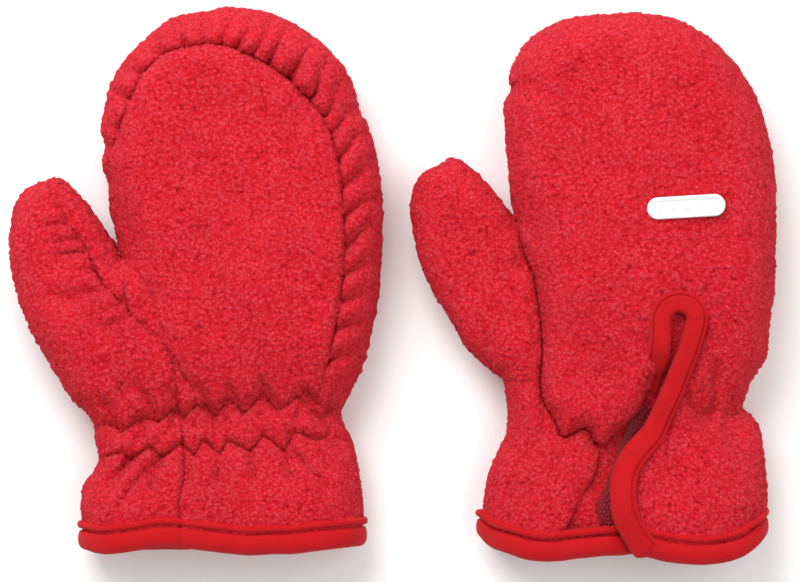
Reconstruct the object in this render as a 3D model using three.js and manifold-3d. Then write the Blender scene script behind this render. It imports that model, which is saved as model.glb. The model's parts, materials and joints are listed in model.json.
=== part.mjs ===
// A pair of toddler's fleece mittens lying flat: the left-hand one palm up, the right-hand one back up.
// Each mitten is a hollow fleece shell with a gathered fingertip edge, an elasticated wrist, a bound hem
// and a bound slit on the back of the wrist, closed by a flap with hook-and-loop tape.
// Millimetres. X runs across the pair, Y towards the fingertips, Z up from the surface they lie on.
import * as THREE from 'three';
import { mergeVertices } from 'three/addons/utils/BufferGeometryUtils.js';
import Module from 'manifold-3d';

const wasm = await Module();
wasm.setup();

// Driving dimensions.
const WALL = 2.6; // fleece thickness
const GAP = 0.3; // between pieces that touch
const HAND_TOP = 159.5; // hem to fingertips
const WRIST_SEAM = 48; // where the hand panels meet the cuff panels
const HEM_WIDTH = 6; // binding round the mouth of the cuff
const EDGE_ROUND = 11; // how far in from the outline the hand is rounded
const CUFF_ROUND = 5.5; // the same on the cuff
const THUMB_PIVOT = new THREE.Vector2(-34, 68); // centre of the thumb's base seam
const THUMB_SEAM_R = 17; // radius of that seam
const THUMB_LIFT = 2; // height of the thumb above the surface
const THUMB_WALL = 2.2;
const THUMB_LENGTH = 55;
const THUMB_MIDDLE = 12; // height of its widest line, where its two halves meet
const THUMB_RISE = 12; // from there to its top at the base
const THUMB_TAPER = 4; // how much lower its top is at the tip
const THUMB_TIP_ROUND = 0.99;
const BAND_WIDTH = 5; // wrist elastic
const BAND_THICK = 1;
const TAPE_THICK = 1; // hook tape and loop tape
const UNDERLAP_WALL = 2; // thinner fleece under the flap
const TRIM_WIDTH = 5.6; // binding along the slit
const TRIM_THICK = 2.6;
const BADGE_LENGTH = 22.5;
const BADGE_WIDTH = 6.4;
const BADGE_THICK = 1.2;
const BADGE_CENTRE = new THREE.Vector2(12.5, 102);
const BADGE_TILT = 0.06;
const MITTEN_SPACING = 117; // from one hand's centre line to the other's
const PANEL_GAP = 1.4; // between a hand panel and the rounded edge round it
const HINGE_FREE = 0.5; // slack on either side of the flap's fold line
const CROTCH_GAP = 1.2; // from the hand panels to the end of the gathers at the thumb crotch
const WIDEST_SHARE = 0.45; // of the height, where the shell is widest
const ROUND_POWER = 0.8; // fullness of the rounded edges; 1 would be an ellipse
const THUMB_SEAM_FROM = 99; // degrees round the base seam, at the crotch
const THUMB_SEAM_TO = 236; // and at the outer side
const THUMB_SEAM_GAP = 0.4;
const CUFF_CLEAR = CUFF_ROUND + GAP + 0.4; // from a cuff's side outline to its flat panels
const HEM_LEFT = -46.6; // ends of the cuff's mouth
const HEM_RIGHT = 35;
const WRIST_CORNER_IN = 1.5; // rounding of the elastic at the sides of the wrist
const WRIST_CORNER_UP = 3;
const ELASTIC_ROWS = { upper: 42, lower: 33 };
const HOOK_TAPE = { centre: [-3.5, 20], width: 14, length: 26 };
const LOOP_TAPE = { centre: [1.5, 20], width: 11, length: 22 };
const TAPE_TILT = 14; // degrees
const FLAP_TOP = 61.5; // where the flap meets the fixed binding
const FLAP_HEM_START = -4.5;

// Depths below the outside of the back, from the flap inwards.
const LOOP_DEPTH = WALL + 1.5 * GAP;
const HOOK_DEPTH = LOOP_DEPTH + TAPE_THICK + GAP;
const UNDERLAP_DEPTH = HOOK_DEPTH + TAPE_THICK + GAP;
const LIMB_DEPTH = UNDERLAP_DEPTH - 0.6; // the fixed binding where it runs under the flap

const COLOURS = {
  fleece: { color: '#d92238', roughness: 1 },
  binding: { color: '#cc1b22', roughness: 0.6 },
  hook: { color: '#7c1020', roughness: 0.4 },
  loop: { color: '#a3182a', roughness: 0.9 },
  elastic: { color: '#8f1722', roughness: 0.7 },
  badge: { color: '#f1f0ec', roughness: 0.45 },
};

const points = (list) => list.map(([x, y]) => new THREE.Vector2(x, y));
const spline = (list) => new THREE.SplineCurve(points(list));
const mix = THREE.MathUtils.lerp;
const evenly = (from, to, count) => Array.from({ length: count }, (_, i) => mix(from, to, i / (count - 1)));

// Height of the mitten above the surface it lies on, along its length.
const heightLine = spline([
  [0, 22], [16, 25], [36, 22], [50, 24], [70, 28], [100, 29], [HAND_TOP, 28],
]);
function heightAt(v) {
  let low = 0;
  let high = 1;
  for (let step = 0; step < 30; step++) {
    const middle = (low + high) / 2;
    if (heightLine.getPoint(middle).x < v) low = middle;
    else high = middle;
  }
  return heightLine.getPoint(low).y;
}

// A box of across by along cells whose corners, as shares 0 to 1 of its three sides, go where place says.
function warpedBox(place, across, along) {
  const geometry = new THREE.BoxGeometry(1, 1, 1, across, along, 1);
  geometry.deleteAttribute('normal');
  geometry.deleteAttribute('uv');
  const corners = geometry.attributes.position;
  for (let i = 0; i < corners.count; i++) {
    const p = place(corners.getX(i) + 0.5, corners.getY(i) + 0.5, corners.getZ(i) + 0.5);
    corners.setXYZ(i, p[0], p[1], p[2]);
  }
  return facingOut(mergeVertices(geometry, 1e-4));
}

function signedVolume(geometry) {
  const corners = geometry.attributes.position;
  const [a, b, c] = [new THREE.Vector3(), new THREE.Vector3(), new THREE.Vector3()];
  let volume = 0;
  for (let i = 0; i < geometry.index.count; i += 3) {
    a.fromBufferAttribute(corners, geometry.index.getX(i));
    b.fromBufferAttribute(corners, geometry.index.getX(i + 1));
    c.fromBufferAttribute(corners, geometry.index.getX(i + 2));
    volume += a.dot(b.cross(c)) / 6;
  }
  return volume;
}

function facingOut(geometry) {
  if (signedVolume(geometry) < 0) {
    const index = geometry.index;
    for (let i = 0; i < index.count; i += 3) {
      const second = index.getX(i + 1);
      index.setX(i + 1, index.getX(i + 2));
      index.setX(i + 2, second);
    }
  }
  geometry.computeVertexNormals();
  return geometry;
}

function solidOf(geometry) {
  const bare = geometry.clone();
  bare.deleteAttribute('normal');
  bare.deleteAttribute('uv');
  const merged = mergeVertices(bare, 1e-4);
  return new wasm.Manifold(new wasm.Mesh({
    numProp: 3,
    vertProperties: new Float32Array(merged.attributes.position.array),
    triVerts: new Uint32Array(merged.index.array),
  }));
}

function cutAway(geometry, cutter) {
  const mesh = solidOf(geometry).subtract(solidOf(cutter)).getMesh();
  const made = new THREE.BufferGeometry();
  made.setAttribute('position', new THREE.BufferAttribute(mesh.vertProperties, 3));
  made.setIndex(new THREE.BufferAttribute(mesh.triVerts, 1));
  return facingOut(made);
}

function piece(name, geometry, look) {
  const material = new THREE.MeshStandardMaterial({ metalness: 0, ...COLOURS[look] });
  material.name = look;
  const mesh = new THREE.Mesh(geometry, material);
  mesh.name = name;
  return mesh;
}

// Which way from the surface a depth is measured: the side that faces up, or the side that lies down.
const upSide = (depth, v) => heightAt(v) - depth;
const downSide = (depth) => depth;

// A flat panel between two edges, thickness deep, its outside at the given depth on one side.
function panel(leftEdge, rightEdge, side, depth, thickness, across = 4, along = 12) {
  return warpedBox((a, b, c) => {
    const left = leftEdge(b);
    const right = rightEdge(b);
    const v = mix(left.y, right.y, a);
    return [mix(left.x, right.x, a), v, side(depth + thickness * c, v)];
  }, across, along);
}

const edgeLine = (list) => {
  const line = new THREE.Path().setFromPoints(points(list));
  return (share) => line.getPointAt(share);
};

const straight = (x0, y0, x1, y1) => (share) => new THREE.Vector2(mix(x0, x1, share), mix(y0, y1, share));

// A wall that follows the outline and rounds from the underside, out to the edge and over to the top.
function roundedEdge(outline, inwards, reach, stations, steps = 6) {
  return warpedBox((a, b, c) => {
    const at = outline.getPointAt(a);
    const tangent = outline.getTangentAt(a);
    const normal = new THREE.Vector2(-tangent.y, tangent.x).multiplyScalar(inwards);
    const angle = (b - 0.5) * Math.PI;
    const middle = heightAt(at.y) * WIDEST_SHARE;
    const up = angle > 0 ? heightAt(at.y) - middle : middle;
    const inset = WALL * c;
    const round = Math.abs(Math.sin(angle)) ** ROUND_POWER;
    const distance = inset + (reach - inset) * (1 - Math.cos(angle) ** ROUND_POWER);
    const x = at.x + normal.x * distance;
    const y = at.y + normal.y * distance;
    return [x, y, middle + Math.sign(angle) * (up - inset) * round];
  }, stations, steps);
}

// A ribbon of the given width along a plan curve, from depth to depth plus thickness on one side.
function ribbon(curve, width, side, depthAt, thickness, along) {
  return warpedBox((a, b, c) => {
    const at = curve.getPointAt(b);
    const tangent = curve.getTangentAt(b);
    const sideways = (a - 0.5) * width;
    const x = at.x + tangent.y * sideways;
    const y = at.y - tangent.x * sideways;
    return [x, y, side(depthAt(b) + thickness * c, at.y)];
  }, 2, along);
}

// A strip round the inside or the mouth of the cuff, following a section drawn in the X-Z plane.
function ring(section, vLow, vHigh, thickness, around) {
  return warpedBox((a, b, c) => {
    const at = section.getPointAt(a);
    const tangent = section.getTangentAt(a);
    const x = at.x + tangent.y * thickness * c;
    const z = at.y - tangent.x * thickness * c;
    return [x, mix(vLow, vHigh, b), z];
  }, around, 1);
}

// The plan outline of each mitten, from the thumb crotch over the fingertips to the wrist.
const LEFT_HAND = {
  name: 'left',
  backUp: false,
  outline: [
    [-33.6, 86], [-37.8, 100], [-41, 118], [-39.5, 132], [-33, 146], [-22, 155], [-5, HAND_TOP],
    [14, 156.5], [28, 144], [36, 126], [41, 101], [39.5, 78], [36, 58], [31, WRIST_SEAM],
  ],
  thumbInner: [[-40.2, 96], [-44.5, 104], [-49, 109.5], [-55, 111]],
  thumbOuter: [[-52.5, 60], [-61, 68], [-66.5, 78], [-68, 93], [-66, 103], [-59.5, 109.5]],
  wristThumbSide: -41.5,
  wristFingerSide: 30,
};
const RIGHT_HAND = {
  name: 'right',
  backUp: true,
  outline: [
    [-33.6, 86], [-36.8, 100], [-39, 116], [-40, 130], [-36, 144], [-24, 154.5], [-3, HAND_TOP],
    [15, 156], [29, 146], [36.5, 130], [39, 111], [38.6, 85], [37, 60], [31, WRIST_SEAM],
  ],
  thumbInner: [[-40.6, 97], [-45.5, 107], [-50, 113], [-56, 116.3]],
  thumbOuter: [[-50, 60.5], [-57.5, 71], [-63, 84], [-68, 97], [-67, 107], [-61, 114]],
  wristThumbSide: -40,
  wristFingerSide: 29.5,
};

// The slit on the back: its rounded top, the flap's free edge and the line that the flap folds on.
const SLIT_TOP = new THREE.Vector2(10.5, 66.5);
const SLIT_ARCH_R = 7.6; // to the middle of the binding
const FLAP_FOLD = { top: new THREE.Vector2(20, 64), foot: new THREE.Vector2(23.5, 0) };
const FLAP_EDGE = [[17.5, 63], [13.5, 54], [7.5, 46], [2, 38], [-6, 28.5], [-9.3, 18], [-6.5, 8]];

const foldX = (v) => mix(FLAP_FOLD.foot.x, FLAP_FOLD.top.x, v / FLAP_FOLD.top.y);

function pointOnSeam(angleDegrees, radius) {
  const angle = THREE.MathUtils.degToRad(angleDegrees);
  return [
    THUMB_PIVOT.x + radius * Math.cos(angle),
    THUMB_PIVOT.y + radius * Math.sin(angle),
  ];
}

// Edges of a hand panel, clear of the rounded edge wall, with the bulge that the thumb joins on to.
function handPanelEdges(spec) {
  const inset = EDGE_ROUND + PANEL_GAP;
  const outline = spline(spec.outline);
  const insideAt = (share) => {
    const at = outline.getPointAt(share);
    const tangent = outline.getTangentAt(share);
    return [at.x + tangent.y * inset, at.y - tangent.x * inset];
  };
  const seam = evenly(235, 101, 10).map((angle) => pointOnSeam(angle, THUMB_SEAM_R));
  const start = [spec.wristThumbSide + CUFF_ROUND + GAP, WRIST_SEAM + GAP];
  const crotch = insideAt(0);
  crotch[1] -= CROTCH_GAP;
  const upTo = evenly(0.02, 0.44, 10).map(insideAt);
  const downFrom = evenly(0.99, 0.46, 14).map(insideAt);
  const wristEnd = [insideAt(1)[0], WRIST_SEAM + GAP];
  return {
    left: edgeLine([start, ...seam, crotch, ...upTo]),
    right: edgeLine([wristEnd, ...downFrom]),
  };
}

// Half of the thumb's shell, split at its widest line. It starts on the arc of the base seam.
function thumbHalf(spec, upward) {
  const seamRadius = THUMB_SEAM_R + THUMB_SEAM_GAP;
  const inner = spline([pointOnSeam(THUMB_SEAM_FROM, seamRadius), ...spec.thumbInner]);
  const outer = spline([pointOnSeam(THUMB_SEAM_TO, seamRadius), ...spec.thumbOuter]);
  const chord = (a, b) => {
    const from = inner.getPointAt(b);
    const to = outer.getPointAt(b);
    return [mix(from.x, to.x, a), mix(from.y, to.y, a), from.distanceTo(to)];
  };
  return warpedBox((a, b, c) => {
    const across = 0.5 - 0.5 * Math.cos(a * Math.PI);
    const along = b * (1 - (c * THUMB_WALL) / THUMB_LENGTH);
    const width = chord(0, along)[2];
    const closing = 1 - c * b ** 8;
    const share = 0.5 + (across - 0.5) * (1 - (2 * THUMB_WALL * c) / width) * closing;
    const base = pointOnSeam(mix(THUMB_SEAM_FROM, THUMB_SEAM_TO, share), seamRadius);
    const foot = chord(share, 0);
    const at = chord(share, along);
    const ease = (1 - along) ** 1.5;
    const reach = upward ? THUMB_RISE - THUMB_TAPER * along : THUMB_MIDDLE - THUMB_LIFT;
    const full = reach - THUMB_WALL * c;
    const tip = Math.sqrt(1 - (THUMB_TIP_ROUND * along) ** 6);
    const dome = closing * Math.sin(a * Math.PI) ** (upward ? 0.85 : 0.6);
    const z = THUMB_MIDDLE + (upward ? 1 : -1) * (GAP / 2 + (full - GAP) * tip * dome);
    return [at[0] + (base[0] - foot[0]) * ease, at[1] + (base[1] - foot[1]) * ease, z];
  }, 8, 9);
}

function thumb(spec) {
  const [top, bottom] = spec.backUp ? ['back', 'palm'] : ['palm', 'back'];
  return [
    piece(`${spec.name}_thumb_${top}_side`, thumbHalf(spec, true), 'fleece'),
    piece(`${spec.name}_thumb_${bottom}_side`, thumbHalf(spec, false), 'fleece'),
  ];
}

// The hole in the back panel for the slit, with its rounded top.
function slitCutter() {
  const reach = SLIT_ARCH_R + TRIM_WIDTH / 2 + GAP;
  const foot = WRIST_SEAM - 5;
  const foldEnd = FLAP_FOLD.top.y - 6;
  const shape = new THREE.Shape();
  shape.moveTo(SLIT_TOP.x - reach, foot);
  shape.lineTo(FLAP_FOLD.foot.x, foot);
  shape.lineTo(foldX(foldEnd) + HINGE_FREE, foldEnd);
  shape.lineTo(SLIT_TOP.x + reach, SLIT_TOP.y);
  shape.absarc(SLIT_TOP.x, SLIT_TOP.y, reach, 0, Math.PI, false);
  shape.closePath();
  const cutter = new THREE.ExtrudeGeometry(shape, { depth: 60, bevelEnabled: false, curveSegments: 10 });
  return cutter.translate(0, 0, -10);
}

function hand(spec, back, palm) {
  const outline = spline(spec.outline);
  const edges = handPanelEdges(spec);
  const whole = panel(edges.left, edges.right, back, 0, WALL, 6, 22);
  const slit = cutAway(whole, slitCutter());
  const backPanel = spec.backUp ? slit : cutAway(slit, badgeShape(GAP, -1, BADGE_THICK + GAP));
  return [
    piece(`${spec.name}_palm_panel`, panel(edges.left, edges.right, palm, 0, WALL, 6, 22), 'fleece'),
    piece(`${spec.name}_back_panel`, backPanel, 'fleece'),
    piece(`${spec.name}_fingertip_gathers`, roundedEdge(outline, -1, EDGE_ROUND, 30), 'fleece'),
  ];
}

// Side outlines of the cuff, from the wrist seam down to the hem.
function cuffSides(spec) {
  const wristV = 37;
  const hemV = HEM_WIDTH + 3 * GAP;
  return {
    thumbSide: [[spec.wristThumbSide, WRIST_SEAM], [spec.wristThumbSide, wristV], [-45.5, 19], [-46.4, hemV]],
    fingerSide: [[31, WRIST_SEAM - GAP], [spec.wristFingerSide, wristV + 4], [36.5, 18], [35, hemV]],
  };
}

function cuff(spec, back, palm) {
  const low = HEM_WIDTH + GAP;
  const high = WRIST_SEAM;
  const sides = cuffSides(spec);
  const thumbEdge = spline(sides.thumbSide);
  const fingerEdge = spline(sides.fingerSide);
  const thumbClear = (b) => {
    const at = thumbEdge.getPointAt(1 - b);
    return new THREE.Vector2(at.x + CUFF_CLEAR, mix(low, high, b));
  };
  const fingerClear = (b) => {
    const at = fingerEdge.getPointAt(1 - b);
    return new THREE.Vector2(at.x - CUFF_CLEAR, mix(low, high, b));
  };
  const backEnd = straight(-22, low, -13, high);
  const underlapTop = WRIST_SEAM - 2;
  const underlapStart = straight(-21.4, low, -12.4, underlapTop);
  const underlapEnd = straight(7.2, low, 0, underlapTop);
  const foldRight = straight(foldX(low) + HINGE_FREE, low, foldX(high) + HINGE_FREE, high);
  return [
    piece(`${spec.name}_thumb_side_panel`, roundedEdge(thumbEdge, 1, CUFF_ROUND, 10), 'fleece'),
    piece(`${spec.name}_finger_side_panel`, roundedEdge(fingerEdge, -1, CUFF_ROUND, 10), 'fleece'),
    piece(`${spec.name}_cuff_palm`, panel(thumbClear, fingerClear, palm, 0, WALL), 'fleece'),
    piece(`${spec.name}_cuff_back`, panel(thumbClear, backEnd, back, 0, WALL), 'fleece'),
    piece(
      `${spec.name}_slit_underlap`,
      panel(underlapStart, underlapEnd, back, UNDERLAP_DEPTH, UNDERLAP_WALL),
      'fleece',
    ),
    piece(`${spec.name}_cuff_fold_side`, panel(foldRight, fingerClear, back, 0, WALL, 2), 'fleece'),
  ];
}

// The section of the cuff's inside at a place v, open from the slit to the flap's fold line.
function wristSection(spec, v, clear) {
  const top = heightAt(v) - clear;
  const bottom = clear;
  const left = spec.wristThumbSide + clear;
  const right = spec.wristFingerSide - clear;
  const corner = CUFF_ROUND;
  const middle = heightAt(v) * WIDEST_SHARE;
  const side = [
    [-19, top], [left + corner, top], [left + WRIST_CORNER_IN, top - WRIST_CORNER_UP],
    [left, middle], [left + WRIST_CORNER_IN, bottom + WRIST_CORNER_UP],
    [left + corner, bottom], [-10, bottom], [10, bottom], [right - corner, bottom],
    [right - WRIST_CORNER_IN, bottom + WRIST_CORNER_UP], [right, middle],
    [right - WRIST_CORNER_IN, top - WRIST_CORNER_UP], [foldX(v) - 4, top],
  ];
  return spec.backUp ? side : side.map(([x, z]) => [x, heightAt(v) - z]);
}

function elastic(spec) {
  const clear = WALL + GAP + 0.2;
  return Object.entries(ELASTIC_ROWS).map(([row, v]) => {
    const section = spline(wristSection(spec, v, clear));
    const thickness = spec.backUp ? -BAND_THICK : BAND_THICK;
    return piece(
      `${spec.name}_wrist_elastic_${row}`,
      ring(section, v - BAND_WIDTH / 2, v + BAND_WIDTH / 2, thickness, 24),
      'elastic',
    );
  });
}

// Binding folded over the hem, from under the flap round the thumb side and palm to the fold line.
function hemBinding(spec) {
  const height = heightAt(0);
  const flip = (z) => (spec.backUp ? z : height - z);
  const underZ = height - UNDERLAP_DEPTH;
  const section = spline([
    [6.5, underZ], [-8, underZ], [-17, height - 2], [-27, height], [-39, height], [-44.6, height - 4],
    [HEM_LEFT, height * WIDEST_SHARE], [-44.6, 3], [-38, 0], [-14, 0], [10, 0], [28, 0],
    [33.4, 3], [HEM_RIGHT, height * WIDEST_SHARE], [33, height - 4], [foldX(0) + 1, height],
  ].map(([x, z]) => [x, flip(z)]));
  const thickness = spec.backUp ? -WALL : WALL;
  const geometry = ring(section, 0, HEM_WIDTH, thickness, 44);
  const corners = geometry.attributes.position;
  for (let i = 0; i < corners.count; i++) {
    corners.setZ(i, Math.max(0, corners.getZ(i)));
  }
  return piece(`${spec.name}_hem_binding`, facingOut(geometry), 'binding');
}

// The fixed binding: up from under the flap, over the rounded top of the slit, to the fold line.
function slitBinding(spec, back) {
  const arch = [180, 150, 120, 90, 60, 30, 5].map((degrees) => {
    const angle = THREE.MathUtils.degToRad(degrees);
    return [SLIT_TOP.x + SLIT_ARCH_R * Math.cos(angle), SLIT_TOP.y + SLIT_ARCH_R * Math.sin(angle)];
  });
  const curve = spline([[11, 8], [6.2, 30], [3.6, 50], ...arch]);
  const depthAt = (share) => LIMB_DEPTH * (1 - THREE.MathUtils.smoothstep(share, 0.45, 0.66));
  return piece(
    `${spec.name}_slit_binding`,
    ribbon(curve, TRIM_WIDTH, back, depthAt, TRIM_THICK, 22),
    'binding',
  );
}

// A rectangle of tape, parallel to the flap's free edge.
function tape(shape, back, depth) {
  const turn = THREE.MathUtils.degToRad(TAPE_TILT);
  return warpedBox((a, b, c) => {
    const across = (a - 0.5) * shape.width;
    const along = (b - 0.5) * shape.length;
    const x = shape.centre[0] + across * Math.cos(turn) - along * Math.sin(turn);
    const y = shape.centre[1] + across * Math.sin(turn) + along * Math.cos(turn);
    return [x, y, back(depth + TAPE_THICK * c, y)];
  }, 1, 5);
}

// The flap with its bound edge, its own stretch of hem binding and the loop tape under it.
function closureFlap(spec, back) {
  const low = HEM_WIDTH + GAP;
  const edge = spline(FLAP_EDGE);
  const freeEdge = (b) => {
    const at = edge.getPointAt(1 - b);
    const tangent = edge.getTangentAt(1 - b);
    const inset = TRIM_WIDTH / 2 + GAP;
    return new THREE.Vector2(at.x - tangent.y * inset, Math.max(low, at.y + tangent.x * inset));
  };
  const foldEdge = (b) => {
    const v = mix(low, FLAP_TOP, b);
    return new THREE.Vector2(foldX(v) - HINGE_FREE, v);
  };
  const edgeBinding = ribbon(edge, TRIM_WIDTH, back, () => 0, TRIM_THICK, 16);
  const hemEnd = foldX(0) - HINGE_FREE - 0.2;
  const hem = warpedBox((a, b, c) => {
    const v = HEM_WIDTH * b;
    return [mix(FLAP_HEM_START, hemEnd, a), v, back(WALL * c, v)];
  }, 6, 2);
  return [
    piece(`${spec.name}_closure_flap`, panel(freeEdge, foldEdge, back, 0, WALL, 4, 14), 'fleece'),
    piece(`${spec.name}_flap_edge_binding`, edgeBinding, 'binding'),
    piece(`${spec.name}_flap_hem_binding`, hem, 'binding'),
    piece(`${spec.name}_loop_tape`, tape(LOOP_TAPE, back, LOOP_DEPTH), 'loop'),
  ];
}

// A plain rubber badge on the back of the hand, with rounded ends. Where the back lies down, the badge is
// pressed into the fleece, so that panel has a pocket for it.
function badgeShape(clear, low, high) {
  const halfLength = BADGE_LENGTH / 2 - BADGE_WIDTH / 2;
  const halfWidth = BADGE_WIDTH / 2 + clear;
  const shape = new THREE.Shape();
  shape.moveTo(-halfLength, -halfWidth);
  shape.lineTo(halfLength, -halfWidth);
  shape.absarc(halfLength, 0, halfWidth, -Math.PI / 2, Math.PI / 2, false);
  shape.lineTo(-halfLength, halfWidth);
  shape.absarc(-halfLength, 0, halfWidth, Math.PI / 2, Math.PI * 1.5, false);
  const settings = { depth: high - low, bevelEnabled: false, curveSegments: 8 };
  const geometry = new THREE.ExtrudeGeometry(shape, settings);
  geometry.rotateZ(BADGE_TILT);
  return geometry.translate(BADGE_CENTRE.x, BADGE_CENTRE.y, low);
}

function badge(spec) {
  const low = spec.backUp ? heightAt(BADGE_CENTRE.y) + GAP : 0;
  return piece(`${spec.name}_badge`, badgeShape(0, low, low + BADGE_THICK), 'badge');
}

function mitten(spec) {
  const back = spec.backUp ? upSide : downSide;
  const palm = spec.backUp ? downSide : upSide;
  const group = new THREE.Group();
  const parts = [
    ...hand(spec, back, palm),
    ...thumb(spec),
    ...cuff(spec, back, palm),
    ...elastic(spec),
    hemBinding(spec),
    slitBinding(spec, back),
    piece(`${spec.name}_hook_tape`, tape(HOOK_TAPE, back, HOOK_DEPTH), 'hook'),
    ...closureFlap(spec, back),
    badge(spec),
  ];
  parts.forEach((mesh) => group.add(mesh));
  return group;
}

const mittens = new THREE.Group();
[[LEFT_HAND, -MITTEN_SPACING / 2], [RIGHT_HAND, MITTEN_SPACING / 2]].forEach(([spec, x]) => {
  const one = mitten(spec);
  one.position.set(x, 0, 0);
  mittens.add(one);
});

const box = new THREE.Box3().setFromObject(mittens);
mittens.position.set(-(box.min.x + box.max.x) / 2, -(box.min.y + box.max.y) / 2, -box.min.z);

export default mittens;
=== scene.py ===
"""A pair of toddler's fleece mittens with a flip-over wrist closure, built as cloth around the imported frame.

Each mitten has its own plan in millimetres: u across, v from the hem to the fingertips, z up.
The left mitten lies palm up and the right one back up, both with the thumb at negative u.
"""
import json
import math

import bpy
import numpy as np
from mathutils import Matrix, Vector
from mathutils.geometry import delaunay_2d_cdt


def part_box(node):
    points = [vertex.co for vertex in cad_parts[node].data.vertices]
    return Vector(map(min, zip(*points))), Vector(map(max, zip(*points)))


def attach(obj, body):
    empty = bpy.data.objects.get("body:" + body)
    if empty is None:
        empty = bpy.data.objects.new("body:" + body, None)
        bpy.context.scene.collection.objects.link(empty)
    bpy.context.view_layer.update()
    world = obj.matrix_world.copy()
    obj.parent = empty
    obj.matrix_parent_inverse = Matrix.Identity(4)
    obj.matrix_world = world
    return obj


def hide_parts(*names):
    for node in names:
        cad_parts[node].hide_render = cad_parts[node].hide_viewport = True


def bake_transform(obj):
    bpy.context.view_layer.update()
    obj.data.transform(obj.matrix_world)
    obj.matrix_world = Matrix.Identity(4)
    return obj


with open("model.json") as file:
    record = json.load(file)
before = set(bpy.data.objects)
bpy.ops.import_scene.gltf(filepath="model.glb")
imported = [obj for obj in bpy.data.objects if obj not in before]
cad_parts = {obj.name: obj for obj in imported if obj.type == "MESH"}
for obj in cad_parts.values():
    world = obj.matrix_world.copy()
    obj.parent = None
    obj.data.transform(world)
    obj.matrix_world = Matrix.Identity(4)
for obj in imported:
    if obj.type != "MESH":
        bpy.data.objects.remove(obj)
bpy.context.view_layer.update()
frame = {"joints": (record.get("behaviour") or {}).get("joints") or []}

MM = 0.001
CLOTH = 2.3              # fleece, with its pile pressed
TOP_STEP = 0.6          # distance between points of the cloth that shows
UNDER_STEP = 1.15        # and of the cloth underneath
RIM_R = 12.5             # how far the rounded rim of a hand reaches in
NUB = 1.2                # size of one nub of the pile
NUB_HEIGHT = 0.42
THUMB_PIVOT = (-34.0, 68.0)
THUMB_AXIS = (-0.515, 0.857)
THUMB_CUT = 18.0         # along the axis, where the thumb starts to bend
FOLD_FOOT = (23.5, 0.0)
FOLD_TOP = (20.0, 64.0)
UNDERLAP_DROP = 5.6      # depths of the plies under the flap
FLAP_CLOTH = 1.7         # thickness of the flap
HINGE_HEIGHT = 12.0      # middle of a mitten's height
HEM_SINK = 5.4           # how far the hem under the flap lies below it
HEM_TUCK = 0.95          # size of the flap's hem where it lies inside the fixed one
ELASTIC_ROWS = {"wrist_elastic_upper": 42.0, "wrist_elastic_lower": 33.0}
ELASTIC_POINTS = 160
TAPE_HALF = 3.25         # half the width of a binding
TAPE_THICK = 4.6         # a binding folded round the edge of the cloth
LIMB_SINK = 7.0          # how far the slit's binding runs down under the flap
BADGE = (11.6, 102.0)
BADGE_TILT = 0.06
STUDS = (-8, -4, 0, 4, 8)
PICTURE_WIDTH = 0.2349   # metres across the picture at the mittens
LENS, SENSOR = 170, 36
SKY = 0.66
# each light's place, size and power
LIGHTS = [("key", (-0.25, 0.50, 0.62), 0.55, 6.8), ("fill", (0.45, 0.05, 0.75), 0.6, 2.0)]
TAPE_DROP = 4.6
LOOP_DROP = 3.1

HEIGHTS = [(-10, 22), (0, 22), (16, 25), (36, 22.5), (50, 25), (70, 28), (100, 29), (140, 28.5), (175, 27)]


# ------------------------------------------------------------------ curves and distances

def catmull(points, closed=False, per=14):
    """A smooth line through the points."""
    p = np.array(points, float)
    if closed:
        q = np.vstack([p[-1], p, p[0], p[1]])
    else:
        q = np.vstack([2 * p[0] - p[1], p, 2 * p[-1] - p[-2]])
    t = np.linspace(0, 1, per, endpoint=False)[:, None]
    parts = []
    for a, b, c, d in zip(q[:-3], q[1:-2], q[2:-1], q[3:]):
        parts.append(0.5 * (2 * b + (c - a) * t + (2 * a - 5 * b + 4 * c - d) * t ** 2
                            + (3 * b - a - 3 * c + d) * t ** 3))
    return np.vstack(parts + ([] if closed else [p[-1:]]))


def resample(line, step):
    """The same line with points an equal distance apart."""
    line = np.asarray(line, float)
    gone = np.concatenate([[0], np.cumsum(np.linalg.norm(np.diff(line, axis=0), axis=1))])
    n = max(2, int(round(gone[-1] / step)) + 1)
    at = np.linspace(0, gone[-1], n)
    return np.stack([np.interp(at, gone, line[:, k]) for k in range(line.shape[1])], axis=1)


def curve(points, step=1.0):
    return resample(catmull(points), step)


def nearest(p, line):
    """Distance of each point from a line, how far along it that is, and the side (left is positive)."""
    d = np.diff(line, axis=0)
    length = np.linalg.norm(d, axis=1) + 1e-9
    start = np.concatenate([[0], np.cumsum(length)[:-1]])
    square = (line ** 2).sum(1)
    out = np.empty((3, len(p)))
    for i in range(0, len(p), 8000):
        q = p[i:i + 8000]
        k = (square[None] - 2 * q @ line.T).argmin(1)
        best = np.full(len(q), np.inf)
        for seg in (np.maximum(k - 1, 0), np.minimum(k, len(d) - 1)):
            off = q - line[seg]
            t = np.clip((off * d[seg]).sum(1) / length[seg] ** 2, 0, 1)
            far = np.linalg.norm(off - t[:, None] * d[seg], axis=1)
            side = np.sign(d[seg, 0] * off[:, 1] - d[seg, 1] * off[:, 0])
            found = far < best
            best = np.where(found, far, best)
            rows = np.where(found)[0] + i
            out[0, rows] = far[found]
            out[1, rows] = (start[seg] + t * length[seg])[found]
            out[2, rows] = side[found]
    return out


def inside(p, polygon):
    x, y = p[:, 0], p[:, 1]
    hit = np.zeros(len(p), bool)
    a = np.asarray(polygon, float)
    b = np.roll(a, -1, axis=0)
    for (x1, y1), (x2, y2) in zip(a, b):
        if y1 != y2:
            hit ^= ((y1 > y) != (y2 > y)) & (x < (x2 - x1) * (y - y1) / (y2 - y1) + x1)
    return hit


def step01(x):
    x = np.clip(x, 0, 1)
    return x * x * (3 - 2 * x)


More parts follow.
